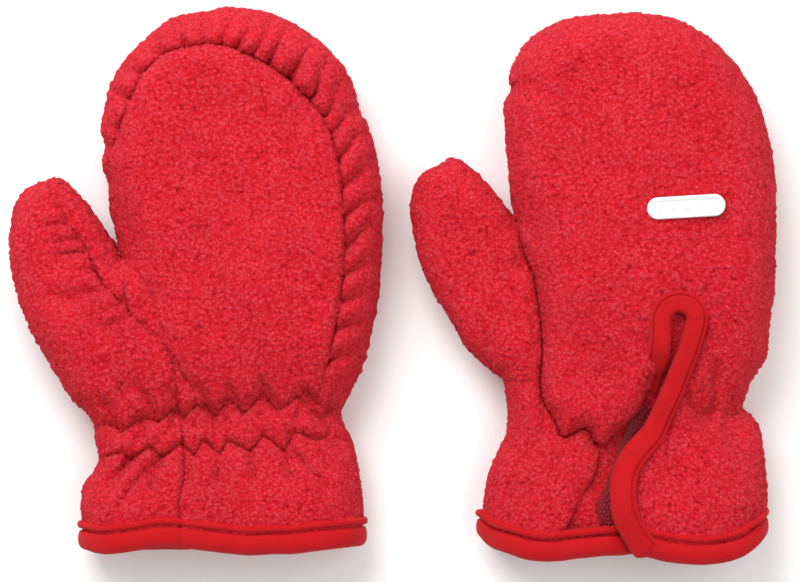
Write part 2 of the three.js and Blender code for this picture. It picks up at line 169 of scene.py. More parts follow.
def round_up(d, r):
    """A quarter circle: 0 at d = 0, 1 from d = r on."""
    t = np.clip(d / r, 0, 1)
    return np.sqrt(1 - (1 - t) ** 2)


def sink(d, r):
    """1 at a seam and 0 from d = r on, with both sides bulging up from it."""
    return 1 - round_up(d, r)


def puffs(s, folds, power=2.4):
    """Round puffs between sharp folds at the given places: 0 in a fold, 1 on top of a puff."""
    folds = np.sort(np.asarray(folds, float))
    i = np.clip(np.searchsorted(folds, s) - 1, 0, len(folds) - 2)
    x = 2 * (s - folds[i]) / (folds[i + 1] - folds[i]) - 1
    return 1 - np.abs(np.clip(x, -1, 1)) ** power, folds[i + 1] - folds[i]


def uneven(start, end, gap, seed):
    """Places about gap apart, never evenly."""
    rng = np.random.default_rng(seed)
    n = int((end - start) / gap) + 1
    return np.linspace(start, end, n) + rng.uniform(-0.3, 0.3, n) * gap


# ------------------------------------------------------------------ noise

def hashed(c, seed):
    h = c.astype(np.int64)
    n = h[..., 0] * 73856093 ^ h[..., 1] * 19349663 ^ h[..., 2] * 83492791 ^ (seed * 2654435761)
    n = (n ^ (n >> 13)) * 1274126177 & 0xFFFFFFFF
    return ((n ^ (n >> 16)) & 0xFFFFFF) / float(0x1000000)


def lumps(p, size, seed):
    """Smooth noise from -1 to 1, with lumps about this size."""
    q = p / size
    c = np.floor(q)
    f = q - c
    f = f * f * (3 - 2 * f)
    total = 0
    for dx in (0, 1):
        for dy in (0, 1):
            for dz in (0, 1):
                w = (f[:, 0] if dx else 1 - f[:, 0]) * (f[:, 1] if dy else 1 - f[:, 1])
                w = w * (f[:, 2] if dz else 1 - f[:, 2])
                total = total + w * hashed(c + (dx, dy, dz), seed)
    return 2 * total - 1


def nubs(p, size, seed):
    """Height of the nubs of a pile, from 0 in the gaps to 1 on the tips."""
    q = p / size
    c = np.floor(q)
    best = np.full(len(p), 9.0)
    for dx in (-1, 0, 1):
        for dy in (-1, 0, 1):
            for dz in (-1, 0, 1):
                cell = c + (dx, dy, dz)
                at = cell + np.stack([hashed(cell, seed + k) for k in range(3)], axis=1)
                best = np.minimum(best, ((q - at) ** 2).sum(1))
    return np.clip(1 - np.sqrt(best) * 0.95, 0, 1)


# ------------------------------------------------------------------ triangles over a plan

def hex_points(low, high, step):
    rows = int((high[1] - low[1]) / (step * 0.866)) + 1
    cols = int((high[0] - low[0]) / step) + 2
    v, u = np.mgrid[0:rows, 0:cols].astype(float)
    u = low[0] + (u + 0.5 * (v % 2)) * step
    v = low[1] + v * step * 0.866
    return np.stack([u.ravel(), v.ravel()], axis=1)


def triangles(outline, step, lines=()):
    """A plan filled with triangles: the closed outline, the lines kept as edges, and points between."""
    ring = resample(np.vstack([outline, outline[:1]]), step)[:-1]
    inner = []
    t = np.roll(ring, -1, axis=0) - np.roll(ring, 1, axis=0)
    n = np.stack([-t[:, 1], t[:, 0]], axis=1) / (np.linalg.norm(t, axis=1)[:, None] + 1e-9)
    loop = np.vstack([ring, ring[:1]])
    for away in (0.16, 0.5, 1.0):
        q = ring + n * away
        inner.append(q[(nearest(q, loop)[0] > away * 0.9) & inside(q, ring)])
    fill = hex_points(ring.min(0), ring.max(0), step)
    fill = fill[inside(fill, ring)]
    fill = fill[nearest(fill, loop)[0] > 1.0 + 0.45 * step]
    kept = [resample(line, step) for line in lines]
    near = np.vstack(inner + [fill])
    for line in kept:
        near = near[nearest(near, line)[0] > 0.42 * step]
    points, edges = [ring], [(i, (i + 1) % len(ring)) for i in range(len(ring))]
    count = len(ring)
    for line in kept:
        points.append(line)
        edges += [(count + i, count + i + 1) for i in range(len(line) - 1)]
        count += len(line)
    points.append(near)
    result = delaunay_2d_cdt([Vector(q) for q in np.vstack(points)], edges, [], 0, 1e-5, False)
    plan = np.array([tuple(q) for q in result[0]])
    tris = np.array([f for f in result[2]])
    middle = plan[tris].mean(1)
    tris = tris[inside(middle, ring)]
    a, b, c = plan[tris[:, 0]], plan[tris[:, 1]], plan[tris[:, 2]]
    turn = (b[:, 0] - a[:, 0]) * (c[:, 1] - a[:, 1]) - (b[:, 1] - a[:, 1]) * (c[:, 0] - a[:, 0])
    tris[turn < 0] = tris[turn < 0][:, ::-1]
    return plan, tris[np.abs(turn) > 1e-7]


def point_normals(verts, tris):
    a, b, c = verts[tris[:, 0]], verts[tris[:, 1]], verts[tris[:, 2]]
    n = np.cross(b - a, c - a)
    total = np.zeros_like(verts)
    for k in range(3):
        np.add.at(total, tris[:, k], n)
    return total / (np.linalg.norm(total, axis=1)[:, None] + 1e-12)


# ------------------------------------------------------------------ meshes

def mesh_object(name, verts, faces, mat, normals=None, pile=None):
    """A mesh from points in metres and faces of one size."""
    faces = np.asarray(faces, np.int32)
    mesh = bpy.data.meshes.new(name)
    mesh.vertices.add(len(verts))
    mesh.vertices.foreach_set("co", np.asarray(verts, np.float32).ravel())
    mesh.loops.add(faces.size)
    mesh.loops.foreach_set("vertex_index", faces.ravel())
    mesh.polygons.add(len(faces))
    mesh.polygons.foreach_set("loop_start", np.arange(0, faces.size, faces.shape[1], dtype=np.int32))
    mesh.polygons.foreach_set("use_smooth", np.ones(len(faces), bool))
    mesh.update(calc_edges=True)
    rest = mesh.attributes.new("rest", "FLOAT_VECTOR", "POINT")
    rest.data.foreach_set("vector", (np.asarray(verts, np.float32) / MM).ravel())
    pile = np.full(len(verts), 0.5) if pile is None else pile
    shade = mesh.attributes.new("pile", "FLOAT", "POINT")
    shade.data.foreach_set("value", np.asarray(pile, np.float32))
    if normals is not None:
        mesh.normals_split_custom_set_from_vertices([tuple(x) for x in normals])
    mesh.materials.append(mat)
    obj = bpy.data.objects.new(name, mesh)
    bpy.context.scene.collection.objects.link(obj)
    return obj


def open_edges(tris):
    """Edges of only one triangle, in that triangle's direction."""
    e = np.vstack([tris[:, [0, 1]], tris[:, [1, 2]], tris[:, [2, 0]]])
    key = np.sort(e, axis=1)
    flat = key[:, 0].astype(np.int64) * (tris.max() + 1) + key[:, 1]
    order = np.argsort(flat, kind="stable")
    f = flat[order]
    single = np.ones(len(f), bool)
    single[1:] &= f[1:] != f[:-1]
    single[:-1] &= f[:-1] != f[1:]
    return e[order][single]


def cloth_piece(name, cloth, chosen, mat, thick=CLOTH):
    """The chosen triangles of a cloth as a sheet with two faces and an edge."""
    tris = cloth["tris"][chosen]
    used, flat = np.unique(tris, return_inverse=True)
    tris = flat.reshape(-1, 3)
    n = len(used)
    outer = cloth["outer"][used]
    inner = cloth["base"][used] - thick * cloth["flow"][used]
    rim = open_edges(tris)
    a, b = rim[:, 0], rim[:, 1]
    faces = np.vstack([tris, tris[:, ::-1] + n, np.stack([b, a, a + n], 1), np.stack([b, a + n, b + n], 1)])
    verts = np.vstack([outer, inner])
    normals = np.vstack([cloth["normal"][used], -cloth["flow"][used]])
    pile = np.concatenate([cloth["pile"][used], np.full(n, 0.35)])
    return mesh_object(name, to_row(verts, cloth["origin"]), faces, mat, normals, pile)


def to_row(p, origin):
    return (np.asarray(p) + np.array([origin[0], origin[1], 0.0])) * MM


def finish_cloth(base, tris, origin, seed, height=NUB_HEIGHT):
    """Adds the pile to a bare surface."""
    flow = point_normals(base, tris)
    nub = nubs(base, NUB, seed)
    fine = lumps(base, 0.7, seed + 9)
    tuft = lumps(base, 4.2, seed + 5)
    sideways = 1 + 0.9 * (1 - np.abs(flow[:, 2])) ** 1.5
    lift = height * sideways * (nub * 1.5 - 0.45 + 0.28 * fine + 0.30 * tuft)
    outer = base + flow * lift[:, None]
    normal = point_normals(outer, tris)
    # pile is the nub height; the fleece material turns it into painted shade in the gaps and a painted
    # highlight on the tips
    pile = np.clip(0.12 + 0.75 * nub + 0.18 * fine + 0.10 * tuft, 0, 1)
    return {"base": base, "outer": outer, "flow": flow, "normal": normal, "pile": pile,
            "tris": tris, "origin": origin}


def sweep(name, path, across, out, section, mat, origin):
    """A strip with this section carried along a path. The section is (across, out) pairs going round."""
    n = len(path)
    section = np.asarray(section, float)
    if section.ndim == 2:
        section = np.repeat(section[None], n, axis=0)
    m = section.shape[1]
    verts = path[:, None] + across[:, None] * section[..., 0:1] + out[:, None] * section[..., 1:2]
    verts = verts.reshape(-1, 3)
    i = np.arange(n - 1)[:, None]
    j = np.arange(m)[None]
    a = i * m + j
    b = i * m + (j + 1) % m
    c = b + m
    d = a + m
    quads = np.stack([a, b, c, d], axis=2).reshape(-1, 4)
    faces = np.vstack([quads[:, [0, 1, 2]], quads[:, [0, 2, 3]]])
    k = len(verts)
    verts = np.vstack([verts, verts[:m].mean(0), verts[-m:].mean(0)])
    s = np.arange(m)
    e = (n - 1) * m
    cap1 = np.stack([np.full(m, k), (s + 1) % m, s], 1)
    cap2 = np.stack([np.full(m, k + 1), e + s, e + (s + 1) % m], 1)
    faces = np.vstack([faces, cap1, cap2])
    centre = verts[faces[:len(quads)]].mean(1)
    a3, b3, c3 = (verts[faces[:len(quads), q]] for q in range(3))
    middle = np.repeat(path[:-1], m, axis=0)
    if (np.cross(b3 - a3, c3 - a3) * (centre - middle)).sum() < 0:
        faces = faces[:, ::-1]
    return mesh_object(name, to_row(verts, origin), faces, mat)


def along(path):
    t = np.gradient(path, axis=0)
    return t / (np.linalg.norm(t, axis=1)[:, None] + 1e-9)


def repeat_shape(name, places, forward, up, shape, faces, mat, origin):
    """The same small shape at many places. The shape is (forward, side, up) in millimetres."""
    side = np.cross(up, forward)
    side = side / (np.linalg.norm(side, axis=1)[:, None] + 1e-9)
    s = np.asarray(shape, float)
    verts = (places[:, None] + forward[:, None] * s[None, :, 0:1] + side[:, None] * s[None, :, 1:2]
             + up[:, None] * s[None, :, 2:3]).reshape(-1, 3)
    k = np.arange(len(places))[:, None, None] * len(s)
    return mesh_object(name, to_row(verts, origin), (np.asarray(faces)[None] + k).reshape(-1, 3), mat)


def tube_shape(stations, sides=6):
    """Points and faces of a small closed tube along (forward, up, radius) stations."""
    ang = np.arange(sides) * 2 * math.pi / sides
    pts, st = [], np.asarray(stations, float)
    t = along(st[:, :2])
    for (f, h, r), (tf, th) in zip(st, t):
        for a in ang:
            pts.append((f - th * r * math.cos(a), r * math.sin(a), h + tf * r * math.cos(a)))
    faces = []
    for i in range(len(st) - 1):
        for j in range(sides):
            a, b = i * sides + j, i * sides + (j + 1) % sides
            faces += [(a, a + sides, b), (b, a + sides, b + sides)]
    last = (len(st) - 1) * sides
    for j in range(1, sides - 1):
        faces += [(0, j, j + 1), (last, last + j + 1, last + j)]
    return np.array(pts), np.array(faces)


# ------------------------------------------------------------------ materials

class Graph:
    """A node material built step by step."""

    def __init__(self, name):
        self.mat = bpy.data.materials.new(name)
        self.mat.use_nodes = True
        self.tree = self.mat.node_tree
        self.tree.nodes.clear()
        self.out = self.add("ShaderNodeOutputMaterial")
        self.shader = self.add("ShaderNodeBsdfPrincipled")
        self.link(self.shader.outputs[0], self.out.inputs[0])

    def add(self, kind, **settings):
        node = self.tree.nodes.new(kind)
        for key, value in settings.items():
            setattr(node, key, value)
        return node

    def link(self, a, b):
        self.tree.links.new(a, b)

    def attribute(self, name):
        return self.add("ShaderNodeAttribute", attribute_name=name)

    def noise(self, where, scale, detail=2.0, rough=0.5, curl=0.0):
        node = self.add("ShaderNodeTexNoise")
        self.link(where, node.inputs["Vector"])
        node.inputs["Scale"].default_value = scale
        node.inputs["Detail"].default_value = detail
        node.inputs["Roughness"].default_value = rough
        node.inputs["Distortion"].default_value = curl
        return node.outputs["Fac"]

    def cells(self, where, scale):
        node = self.add("ShaderNodeTexVoronoi")
        self.link(where, node.inputs["Vector"])
        node.inputs["Scale"].default_value = scale
        return node.outputs["Distance"]

    def waves(self, where, scale, direction, distort=0.6):
        node = self.add("ShaderNodeTexWave", bands_direction=direction)
        self.link(where, node.inputs["Vector"])
        node.inputs["Scale"].default_value = scale
        node.inputs["Distortion"].default_value = distort
        return node.outputs["Fac"]

    def math(self, kind, a, b):
        node = self.add("ShaderNodeMath", operation=kind)
        for value, slot in ((a, node.inputs[0]), (b, node.inputs[1])):
            if isinstance(value, (int, float)):
                slot.default_value = value
            else:
                self.link(value, slot)
        return node.outputs[0]

    def ramp(self, fac, stops):
        node = self.add("ShaderNodeValToRGB")
        self.link(fac, node.inputs[0])
        marks = node.color_ramp.elements
        while len(marks) < len(stops):
            marks.new(0.5)
        for mark, (at, colour) in zip(marks, stops):
            mark.position = at
            mark.color = (*colour, 1)
        return node.outputs[0]

    def tinted(self, colour, fac, low, high):
        """The colour made darker or lighter by a factor between low and high."""
        scale = self.add("ShaderNodeMapRange")
        self.link(fac, scale.inputs["Value"])
        scale.inputs["To Min"].default_value = low
        scale.inputs["To Max"].default_value = high
        mix = self.add("ShaderNodeVectorMath", operation="SCALE")
        self.link(colour, mix.inputs[0])
        self.link(scale.outputs[0], mix.inputs["Scale"])
        return mix.outputs[0]

    def bump(self, height, distance, strength=1.0):
        node = self.add("ShaderNodeBump")
        self.link(height, node.inputs["Height"])
        node.inputs["Distance"].default_value = distance
        node.inputs["Strength"].default_value = strength
        self.link(node.outputs[0], self.shader.inputs["Normal"])

    def finish(self, colour, rough, **constant):
        self.link(colour, self.shader.inputs["Base Color"])
        self.shader.inputs["Roughness"].default_value = rough
        for key, value in constant.items():
            self.shader.inputs[key.replace("_", " ")].default_value = value
        return self.mat


def fleece(name, gap, body, lit_tip, sheen):
    """Short brushed pile: painted shade in the gaps between the nubs, a painted highlight on the nub tips,
    mottled, with a soft sheen.
    """
    g = Graph(name)
    at = g.attribute("rest").outputs["Vector"]
    pile = g.attribute("pile").outputs["Fac"]
    fine = g.noise(at, 1.25, 4.0, 0.62, 1.6)
    tufts = g.cells(at, 0.95)
    # pile height, fine noise and cells give one value for the ramp: painted shade where it is low (the gaps
    # between nubs), painted highlight where it is high (the tips)
    mixed = g.math("ADD", g.math("MULTIPLY", pile, 0.32), g.math("MULTIPLY", fine, 0.92))
    depth = g.math("SUBTRACT", mixed, g.math("MULTIPLY", tufts, 0.45))
    colour = g.ramp(depth, [(0.10, gap), (0.28, body), (0.37, body), (0.58, lit_tip)])
    colour = g.tinted(colour, g.noise(at, 0.09, 3.0), 0.84, 1.12)
    height = g.math("SUBTRACT", g.math("MULTIPLY", fine, 1.4), g.math("MULTIPLY", tufts, 0.8))
    g.bump(height, 1.3 * MM, 1.0)
    return g.finish(colour, 0.92, Sheen_Weight=sheen, Sheen_Roughness=0.45,
                    Sheen_Tint=(1.0, 0.20, 0.28, 1), Specular_IOR_Level=0.08)


def knit_tape(name, dark, body, light, rough=0.62):
    """A fine knitted binding tape."""
    g = Graph(name)
    at = g.attribute("rest").outputs["Vector"]
    fine = g.noise(at, 2.2, 3.0, 0.6)
    ribs = g.waves(at, 1.3, "DIAGONAL", 2.5)
    mixed = g.math("ADD", g.math("MULTIPLY", fine, 0.65), g.math("MULTIPLY", ribs, 0.35))
    colour = g.ramp(mixed, [(0.18, dark), (0.5, body), (0.85, light)])
    colour = g.tinted(colour, g.noise(at, 0.16, 2.0), 0.90, 1.10)
    g.bump(mixed, 0.26 * MM, 0.8)
    return g.finish(colour, rough, Sheen_Weight=0.12, Sheen_Roughness=0.5,
                    Sheen_Tint=(1.0, 0.3, 0.3, 1), Specular_IOR_Level=0.14)


def plastic(name, low, high, rough, spec=0.4, coat=0.0):
    g = Graph(name)
    at = g.attribute("rest").outputs["Vector"]
    fine = g.noise(at, 1.4, 3.0)
    colour = g.ramp(fine, [(0.25, low), (0.8, high)])
    g.bump(fine, 0.08 * MM, 0.5)
    return g.finish(colour, rough, Specular_IOR_Level=spec, Coat_Weight=coat)


# colours: painted shade for the pile's gaps, the fleece's own red, a painted highlight for the nub tips
FLEECE = fleece("red_fleece", (0.40, 0.001, 0.008), (0.92, 0.010, 0.024), (1.0, 0.062, 0.092), 0.22)
BINDING = knit_tape("red_binding", (0.34, 0.001, 0.004), (0.49, 0.004, 0.008), (0.60, 0.010, 0.015), 0.8)
THREAD = knit_tape("red_thread", (0.46, 0.006, 0.014), (0.66, 0.02, 0.03), (0.9, 0.12, 0.14), 0.5)
HOOKS = plastic("hook_tape", (0.15, 0.002, 0.008), (0.27, 0.007, 0.014), 0.42, 0.25)
HOOK_TIPS = plastic("hook_tips", (0.34, 0.008, 0.016), (0.66, 0.08, 0.10), 0.3, 0.5)
LOOPS = knit_tape("loop_tape", (0.30, 0.004, 0.012), (0.48, 0.010, 0.022), (0.62, 0.03, 0.05), 0.8)
ELASTIC = knit_tape("elastic", (0.30, 0.004, 0.010), (0.44, 0.008, 0.016), (0.55, 0.02, 0.03), 0.7)
RUBBER = plastic("badge_rubber", (0.80, 0.80, 0.79), (0.88, 0.88, 0.87), 0.42, 0.45, 0.1)


# ------------------------------------------------------------------ the two plans

LEFT = {
    "side": "left", "back_up": False, "seed": 11, "thumb_top": 23.5,
    "finger": [(34.6, 6.1), (35.2, 12.9), (34.4, 21.4), (32.8, 29.1), (31.7, 33.3), (28.5, 41.7),
               (30.5, 46.5), (33, 51.3), (35, 55.5), (38, 67.5), (40.0, 80.7), (40.8, 100.7),
               (39.1, 116.3), (38.5, 120.3), (36.4, 126.5), (33.9, 130.4), (33.3, 133.7),
               (30.7, 141.6), (27.9, 145.5), (24.0, 149.5), (17.2, 154.5), (11.6, 157.6),
               (4.3, 159.9), (-5.2, 160.9), (-9.7, 159.6), (-14.3, 158.9), (-19.9, 157.9),
               (-24.9, 154.8), (-32.2, 148.1), (-36.7, 142.2), (-39.2, 136.5), (-40.9, 129.2),
               (-41.7, 124.8), (-40.3, 120.3), (-41.2, 114.7), (-39.2, 109.6), (-39.1, 104.5),
               (-38.6, 100.0), (-37.4, 96.0), (-36.4, 91.0), (-35.6, 87.2)],
    "thumb": [(-35.6, 87.2), (-38.0, 91.4), (-41.1, 96.4), (-44.2, 100.9), (-46.7, 104.2),
              (-50.7, 108.7), (-53.8, 110.5), (-55.8, 110.7), (-57.8, 110.0), (-61.4, 108.5),
              (-64.9, 106.0), (-66.9, 102.4), (-67.8, 97.9), (-68.4, 91.8), (-67.9, 84.7),
              (-66.4, 77.6), (-64.6, 72.1), (-61.4, 64.5), (-57.8, 58.4), (-54.3, 52.3),
              (-50.2, 45.8), (-45.7, 41.7), (-43.7, 38.1), (-43.4, 33.3), (-42.4, 29.7),
              (-43.2, 25.5), (-46.8, 20.7), (-47.4, 15.3), (-47.0, 9.5), (-46.6, 5.0)],
    "hem_up": [(-46.6, 5.0), (-40, 4.3), (-31, 5.6), (-22, 6.8), (-12, 5.6), (2, 4.1), (14, 4.6),
               (26, 5.7), (34.6, 6.1)],
    "hem_down": [(-46.6, 5.0), (-30, 4.4), (-10, 4.8), (10, 4.4), (23.5, 4.4), (34.6, 6.1)],
}
RIGHT = {
    "side": "right", "back_up": True, "seed": 47, "thumb_top": 20.5,
    "finger": [(35.6, 9.0), (36.9, 16.4), (36.1, 29.1), (34.9, 36.1), (32.8, 40.5), (29.8, 43.7),
               (31.7, 50.2), (33.6, 54.0), (36.2, 57.8), (36.9, 63.3), (37.4, 69.9), (38.5, 76.3),
               (39.0, 85.0), (39.0, 104.2), (38.8, 110.7), (37.6, 120.4), (35.2, 129.2),
               (31.4, 138.0), (26.4, 145.3), (19.7, 151.8), (10.3, 157.1), (1.5, 158.8),
               (-2.9, 159.1), (-13.2, 158.5), (-20.6, 157.7), (-26.4, 155.6), (-32.3, 151.8),
               (-36.7, 145.9), (-38.5, 140.9), (-38.8, 138.9), (-37.9, 137.1), (-39.9, 133.6),
               (-40.2, 131.5), (-39.9, 124.8), (-39.0, 113.6), (-38.2, 105.4), (-37.0, 98.0)],
    "thumb": [(-37.0, 98.0), (-40.0, 102.4), (-43.7, 107.0), (-47.5, 111.3), (-51.4, 114.5),
              (-53.4, 116.0), (-56.2, 116.5), (-58.7, 115.2), (-61.7, 113.6), (-64.7, 111.4),
              (-66.4, 108.8), (-67.5, 104.8), (-67.8, 100.4), (-67.0, 95.1), (-65.5, 88.5),
              (-63.2, 82.0), (-60.0, 75.5), (-55.6, 69.0), (-52.9, 63.5), (-50.2, 59.7),
              (-44.8, 54.9), (-40.4, 51.6), (-39.6, 46.7), (-39.1, 40.0), (-39.9, 34.9),
              (-42.1, 30.5), (-43.6, 27.1), (-44.9, 22.9), (-46.0, 16.4), (-46.4, 8.2)],
    "hem_up": [(-46.4, 8.2), (-43, 5.6), (-36, 3.3), (-29, 2.4), (-20, 2.9), (-11, 3.6), (-3, 4.2),
               (2, 3.2), (8, 2.0), (15, 1.3), (20, 1.3), (24.4, 2.0), (30, 4.4), (35.6, 9.0)],
    "hem_down": [(-46.4, 8.2), (-38, 5.2), (-20, 4.4), (0, 4.2), (20, 4.4), (30, 5.6), (35.6, 9.0)],
}

# lines on the left palm
EGG = [(-35.8, 88.5), (-37.3, 96.5), (-38.4, 104.5), (-38.3, 115.2), (-36.9, 120.8), (-34.2, 128.1),
       (-32.0, 133.7), (-28.6, 140.5), (-21.9, 146.6), (-14.7, 148.6), (-10.0, 149.3), (-5.0, 148.9),
       (0.6, 146.9), (7.3, 143.6), (12.9, 139.9), (17.4, 135.4), (22.5, 129.8), (25.8, 123.6),
       (28.1, 115.2), (29.2, 106.9), (29.9, 95.4), (29.9, 86.6), (29.1, 77.8), (27.6, 69.0),
       (25.2, 57.3), (22.9, 49.9), (21.6, 42.0)]
GATHERS = [(-38.6, 106), (-39.3, 113), (-39.3, 118.9), (-37, 125.1), (-34.1, 134.2), (-30.2, 141.5),
           (-23.2, 146.8), (-16.1, 148.9), (-10.6, 152.7), (-5.6, 150), (-0.3, 152.1), (5, 149.4),
           (10, 148.3), (15.6, 142.1), (20.6, 133.6), (26.7, 129.2), (29.1, 124.5), (29.5, 116),
           (30.5, 108), (31.2, 99), (31, 90), (30.7, 82), (30, 74), (29, 66)]
THUMB_SEAM = [(-57.3, 110.3), (-55.8, 105.5), (-53.1, 101.4), (-49.5, 95.8), (-46.5, 91.8), (-43.5, 85.2),
              (-39.4, 78.7), (-34.4, 73.6), (-28.8, 67.5), (-23.2, 62.5), (-21.1, 59.4), (-19.7, 54.9),
              (-18.8, 47.9), (-17.2, 33.3), (-16.9, 23.8), (-18.1, 16.4), (-18.0, 6.0)]
PALM_CREASE = [(-35.3, 86.8), (-31.3, 83.5), (-27.2, 78.6), (-24.6, 71.5), (-22.4, 63.6), (-18.3, 55.2),
               (-13.6, 48.6), (-7.9, 40.8)]
PALM_HOLLOW = [(-38.0, 112), (-34.0, 97.0), (-29.0, 84.0), (-25.5, 72.0), (-21.5, 61.0)]
THUMB_CREASES = [([(-40.5, 79.5), (-45, 76.5), (-51, 75.2), (-58, 77.5)], 3.0, 5.4),
                 ([(-46.0, 91.5), (-50, 88.5), (-56, 89)], 1.8, 4.5),
                 ([(-46, 69), (-40, 66.5), (-33.5, 65.5)], 1.7, 6.5),
                 ([(-29, 52), (-33, 49), (-38, 48.5)], 1.3, 6.0)]
ROW_HIGH = [(-43.3, 37.5), (-39.4, 39.3), (-35.2, 36.3), (-29.2, 41.1), (-24.4, 39.3), (-20.5, 43.2),
            (-17.2, 40.2), (-13.3, 45.0), (-7.9, 40.8), (-4.0, 46.5), (0.5, 41.7), (5.9, 48.0),
            (10.4, 42.6), (16.4, 47.4), (22.7, 39.9), (25.7, 43.2), (28.6, 41.4)]
ROW_LOW = [(-42.4, 28.5), (-35.2, 30.9), (-32.8, 28.5), (-26.8, 32.4), (-23.2, 29.1), (-17.8, 33.3),
           (-13.9, 29.7), (-11.2, 34.2), (-6.4, 30.3), (-4.0, 34.2), (2.6, 30.9), (6.2, 35.7),
           (12.2, 31.2), (15.5, 36.6), (21.2, 34.5), (26.0, 35.1), (31.9, 33.3)]

# lines on the right back
HAND_EDGE = [(-37.0, 98.0), (-34.4, 88.5), (-33.2, 85.2), (-31.7, 82.0), (-30.7, 75.5), (-29.6, 67.3),
             (-29.3, 59.2), (-29.8, 51.6), (-29.0, 45.5), (-26.3, 41.2), (-23.6, 35.4), (-21.2, 36.1),
             (-18.2, 37.6), (-15.8, 37.0), (-14.4, 33.9), (-12.3, 32.2), (-10.5, 33.2), (-7.5, 35.8),
             (-4.0, 39.2), (-0.6, 43.5), (2.0, 48.5), (3.6, 53.5), (4.2, 60.0)]
SIDE_FOLD = [(-28.9, 42.2), (-29.9, 36.6), (-32.9, 31.4), (-35.9, 26.2), (-39.2, 20.4), (-41.5, 13.0)]
BACK_CREASES = [([(20.6, 60.0), (21.0, 52.0), (20.4, 44.5), (18.6, 34.5)], 3.6, 4.2),
                ([(11.4, 50.0), (14.0, 44.5), (18.2, 36.0)], 3.0, 3.8),
                ([(16.0, 52.5), (17.4, 45.0), (17.6, 37.5)], 1.6, 3.0),
                ([(24.6, 50.0), (26.4, 44.5), (27.6, 38.0)], 2.2, 3.4),
                ([(33.5, 48.5), (30.0, 44.0), (27.0, 41.0)], 1.5, 3.4),
                ([(25.6, 45.5), (27.0, 38.5), (29.2, 30.0)], 2.8, 6.0),
                ([(23.0, 41.0), (24.4, 35.0), (27.0, 29.0)], 1.5, 3.6)]
ARCH_CENTRE = (9.8, 69.4)
ARCH_R = 5.4
EDGE_NOTCH = 14          # the point of HAND_EDGE where the cuff's fold meets it
BELOW_HEM = -4.0         # the slit is cut as far as this
CUFF_FOLD = [(-14.4, 33.9), (-13.2, 30.0), (-14.8, 23.2), (-17.3, 19.4), (-20.4, 13.3), (-23.4, 6.9),
             (-25.2, 2.0)]
FLAP_EDGE = [(15.2, 68.0), (12.9, 61.4), (10.3, 54.5), (8.1, 48.6), (5.2, 42.2), (2.3, 35.8), (-2.4, 30.4),
             (-5.5, 24.7), (-6.2, 18.3), (-5.2, 12.0), (-2.4, 7.0), (-0.2, 3.6)]
TAPE_EDGE = [(-4.0, 39.0), (-7.5, 30.5), (-10.0, 23.7), (-12.6, 17.6), (-13.7, 14.4), (-13.0, 11.6),
             (-10.5, 7.0)]


def opening():
    """The slit: the arch, the edge of the hand, the fold of the cuff, then back up the flap's edge."""
    ang = np.radians(np.linspace(0, 180, 25))
    arch = np.stack([ARCH_CENTRE[0] + ARCH_R * np.cos(ang), ARCH_CENTRE[1] + ARCH_R * np.sin(ang)], 1)
    down = curve(HAND_EDGE[::-1], 0.5)
    down = down[:int(nearest(np.array([HAND_EDGE[EDGE_NOTCH]]), down)[1][0] / 0.5) + 1]
    fold = curve(CUFF_FOLD, 0.5)
    edge = curve(FLAP_EDGE[::-1], 0.5)
    low = np.array([(CUFF_FOLD[-1][0], BELOW_HEM), (FLAP_EDGE[-1][0], BELOW_HEM)])
    return np.vstack([arch, down, fold, low, edge])


SLIT = opening()


def outline_of(spec, hem):
    """The closed plan, counter-clockwise, and the rim without the hem."""
    finger, thumb = curve(spec["finger"], 0.5), curve(spec["thumb"], 0.5)
    rim = np.vstack([finger, thumb[1:]])
    closed = np.vstack([rim, curve(spec[hem], 0.5)[1:-1]])
    longer = np.vstack([[rim[0] + (0, -14)], rim, [rim[-1] + (0, -14)]])
    return closed, longer


def height_line(v):
    v = np.asarray(v, float)
    table = catmull(HEIGHTS)
    return np.interp(v, table[:, 0], table[:, 1])


def middle_height(p):
    return 0.43 * height_line(p[:, 1])


def crease(p, line, depth, width):
    """A soft fold that fades at both ends."""
    path = curve(line, 0.8)
    d, s, _ = nearest(p, path)
    total = np.linalg.norm(np.diff(path, axis=0), axis=1).sum()
    fade = step01(np.minimum(s, total - s) / (0.35 * total) + 0.15)
    return depth * fade * np.exp(-(d / (0.5 * width)) ** 1.4)


def wide_lumps(p, seed):
    q = np.column_stack([p, np.full(len(p), 0.5 * seed)])
    return 0.75 * lumps(q, 21.0, seed) + 0.32 * lumps(q, 9.5, seed + 3)


def pleats(p, seed, reach=13.0, low=0.3):
    """The gathered wrist: upright folds that fan out above and below the elastic."""
    u, v = p[:, 0], p[:, 1]
    fan = 1 + 0.012 * np.abs(v - 38) + 0.0006 * (v - 38) ** 2
    bend = 0.9 * np.sin(v / 3.1) + 0.8 * np.sin(v / 5.3 + 0.4 * u)
    w = (u + 6) / fan + bend
    top, gap = puffs(w, uneven(-46, 40, 5.2, seed))
    strong = np.exp(-((v - 38) / reach) ** 2)
    foot = low * step01((36 - v) / 14)
    return (top - 0.75) * np.clip(gap / 5.2, 0.5, 1.3) * np.maximum(strong, foot)


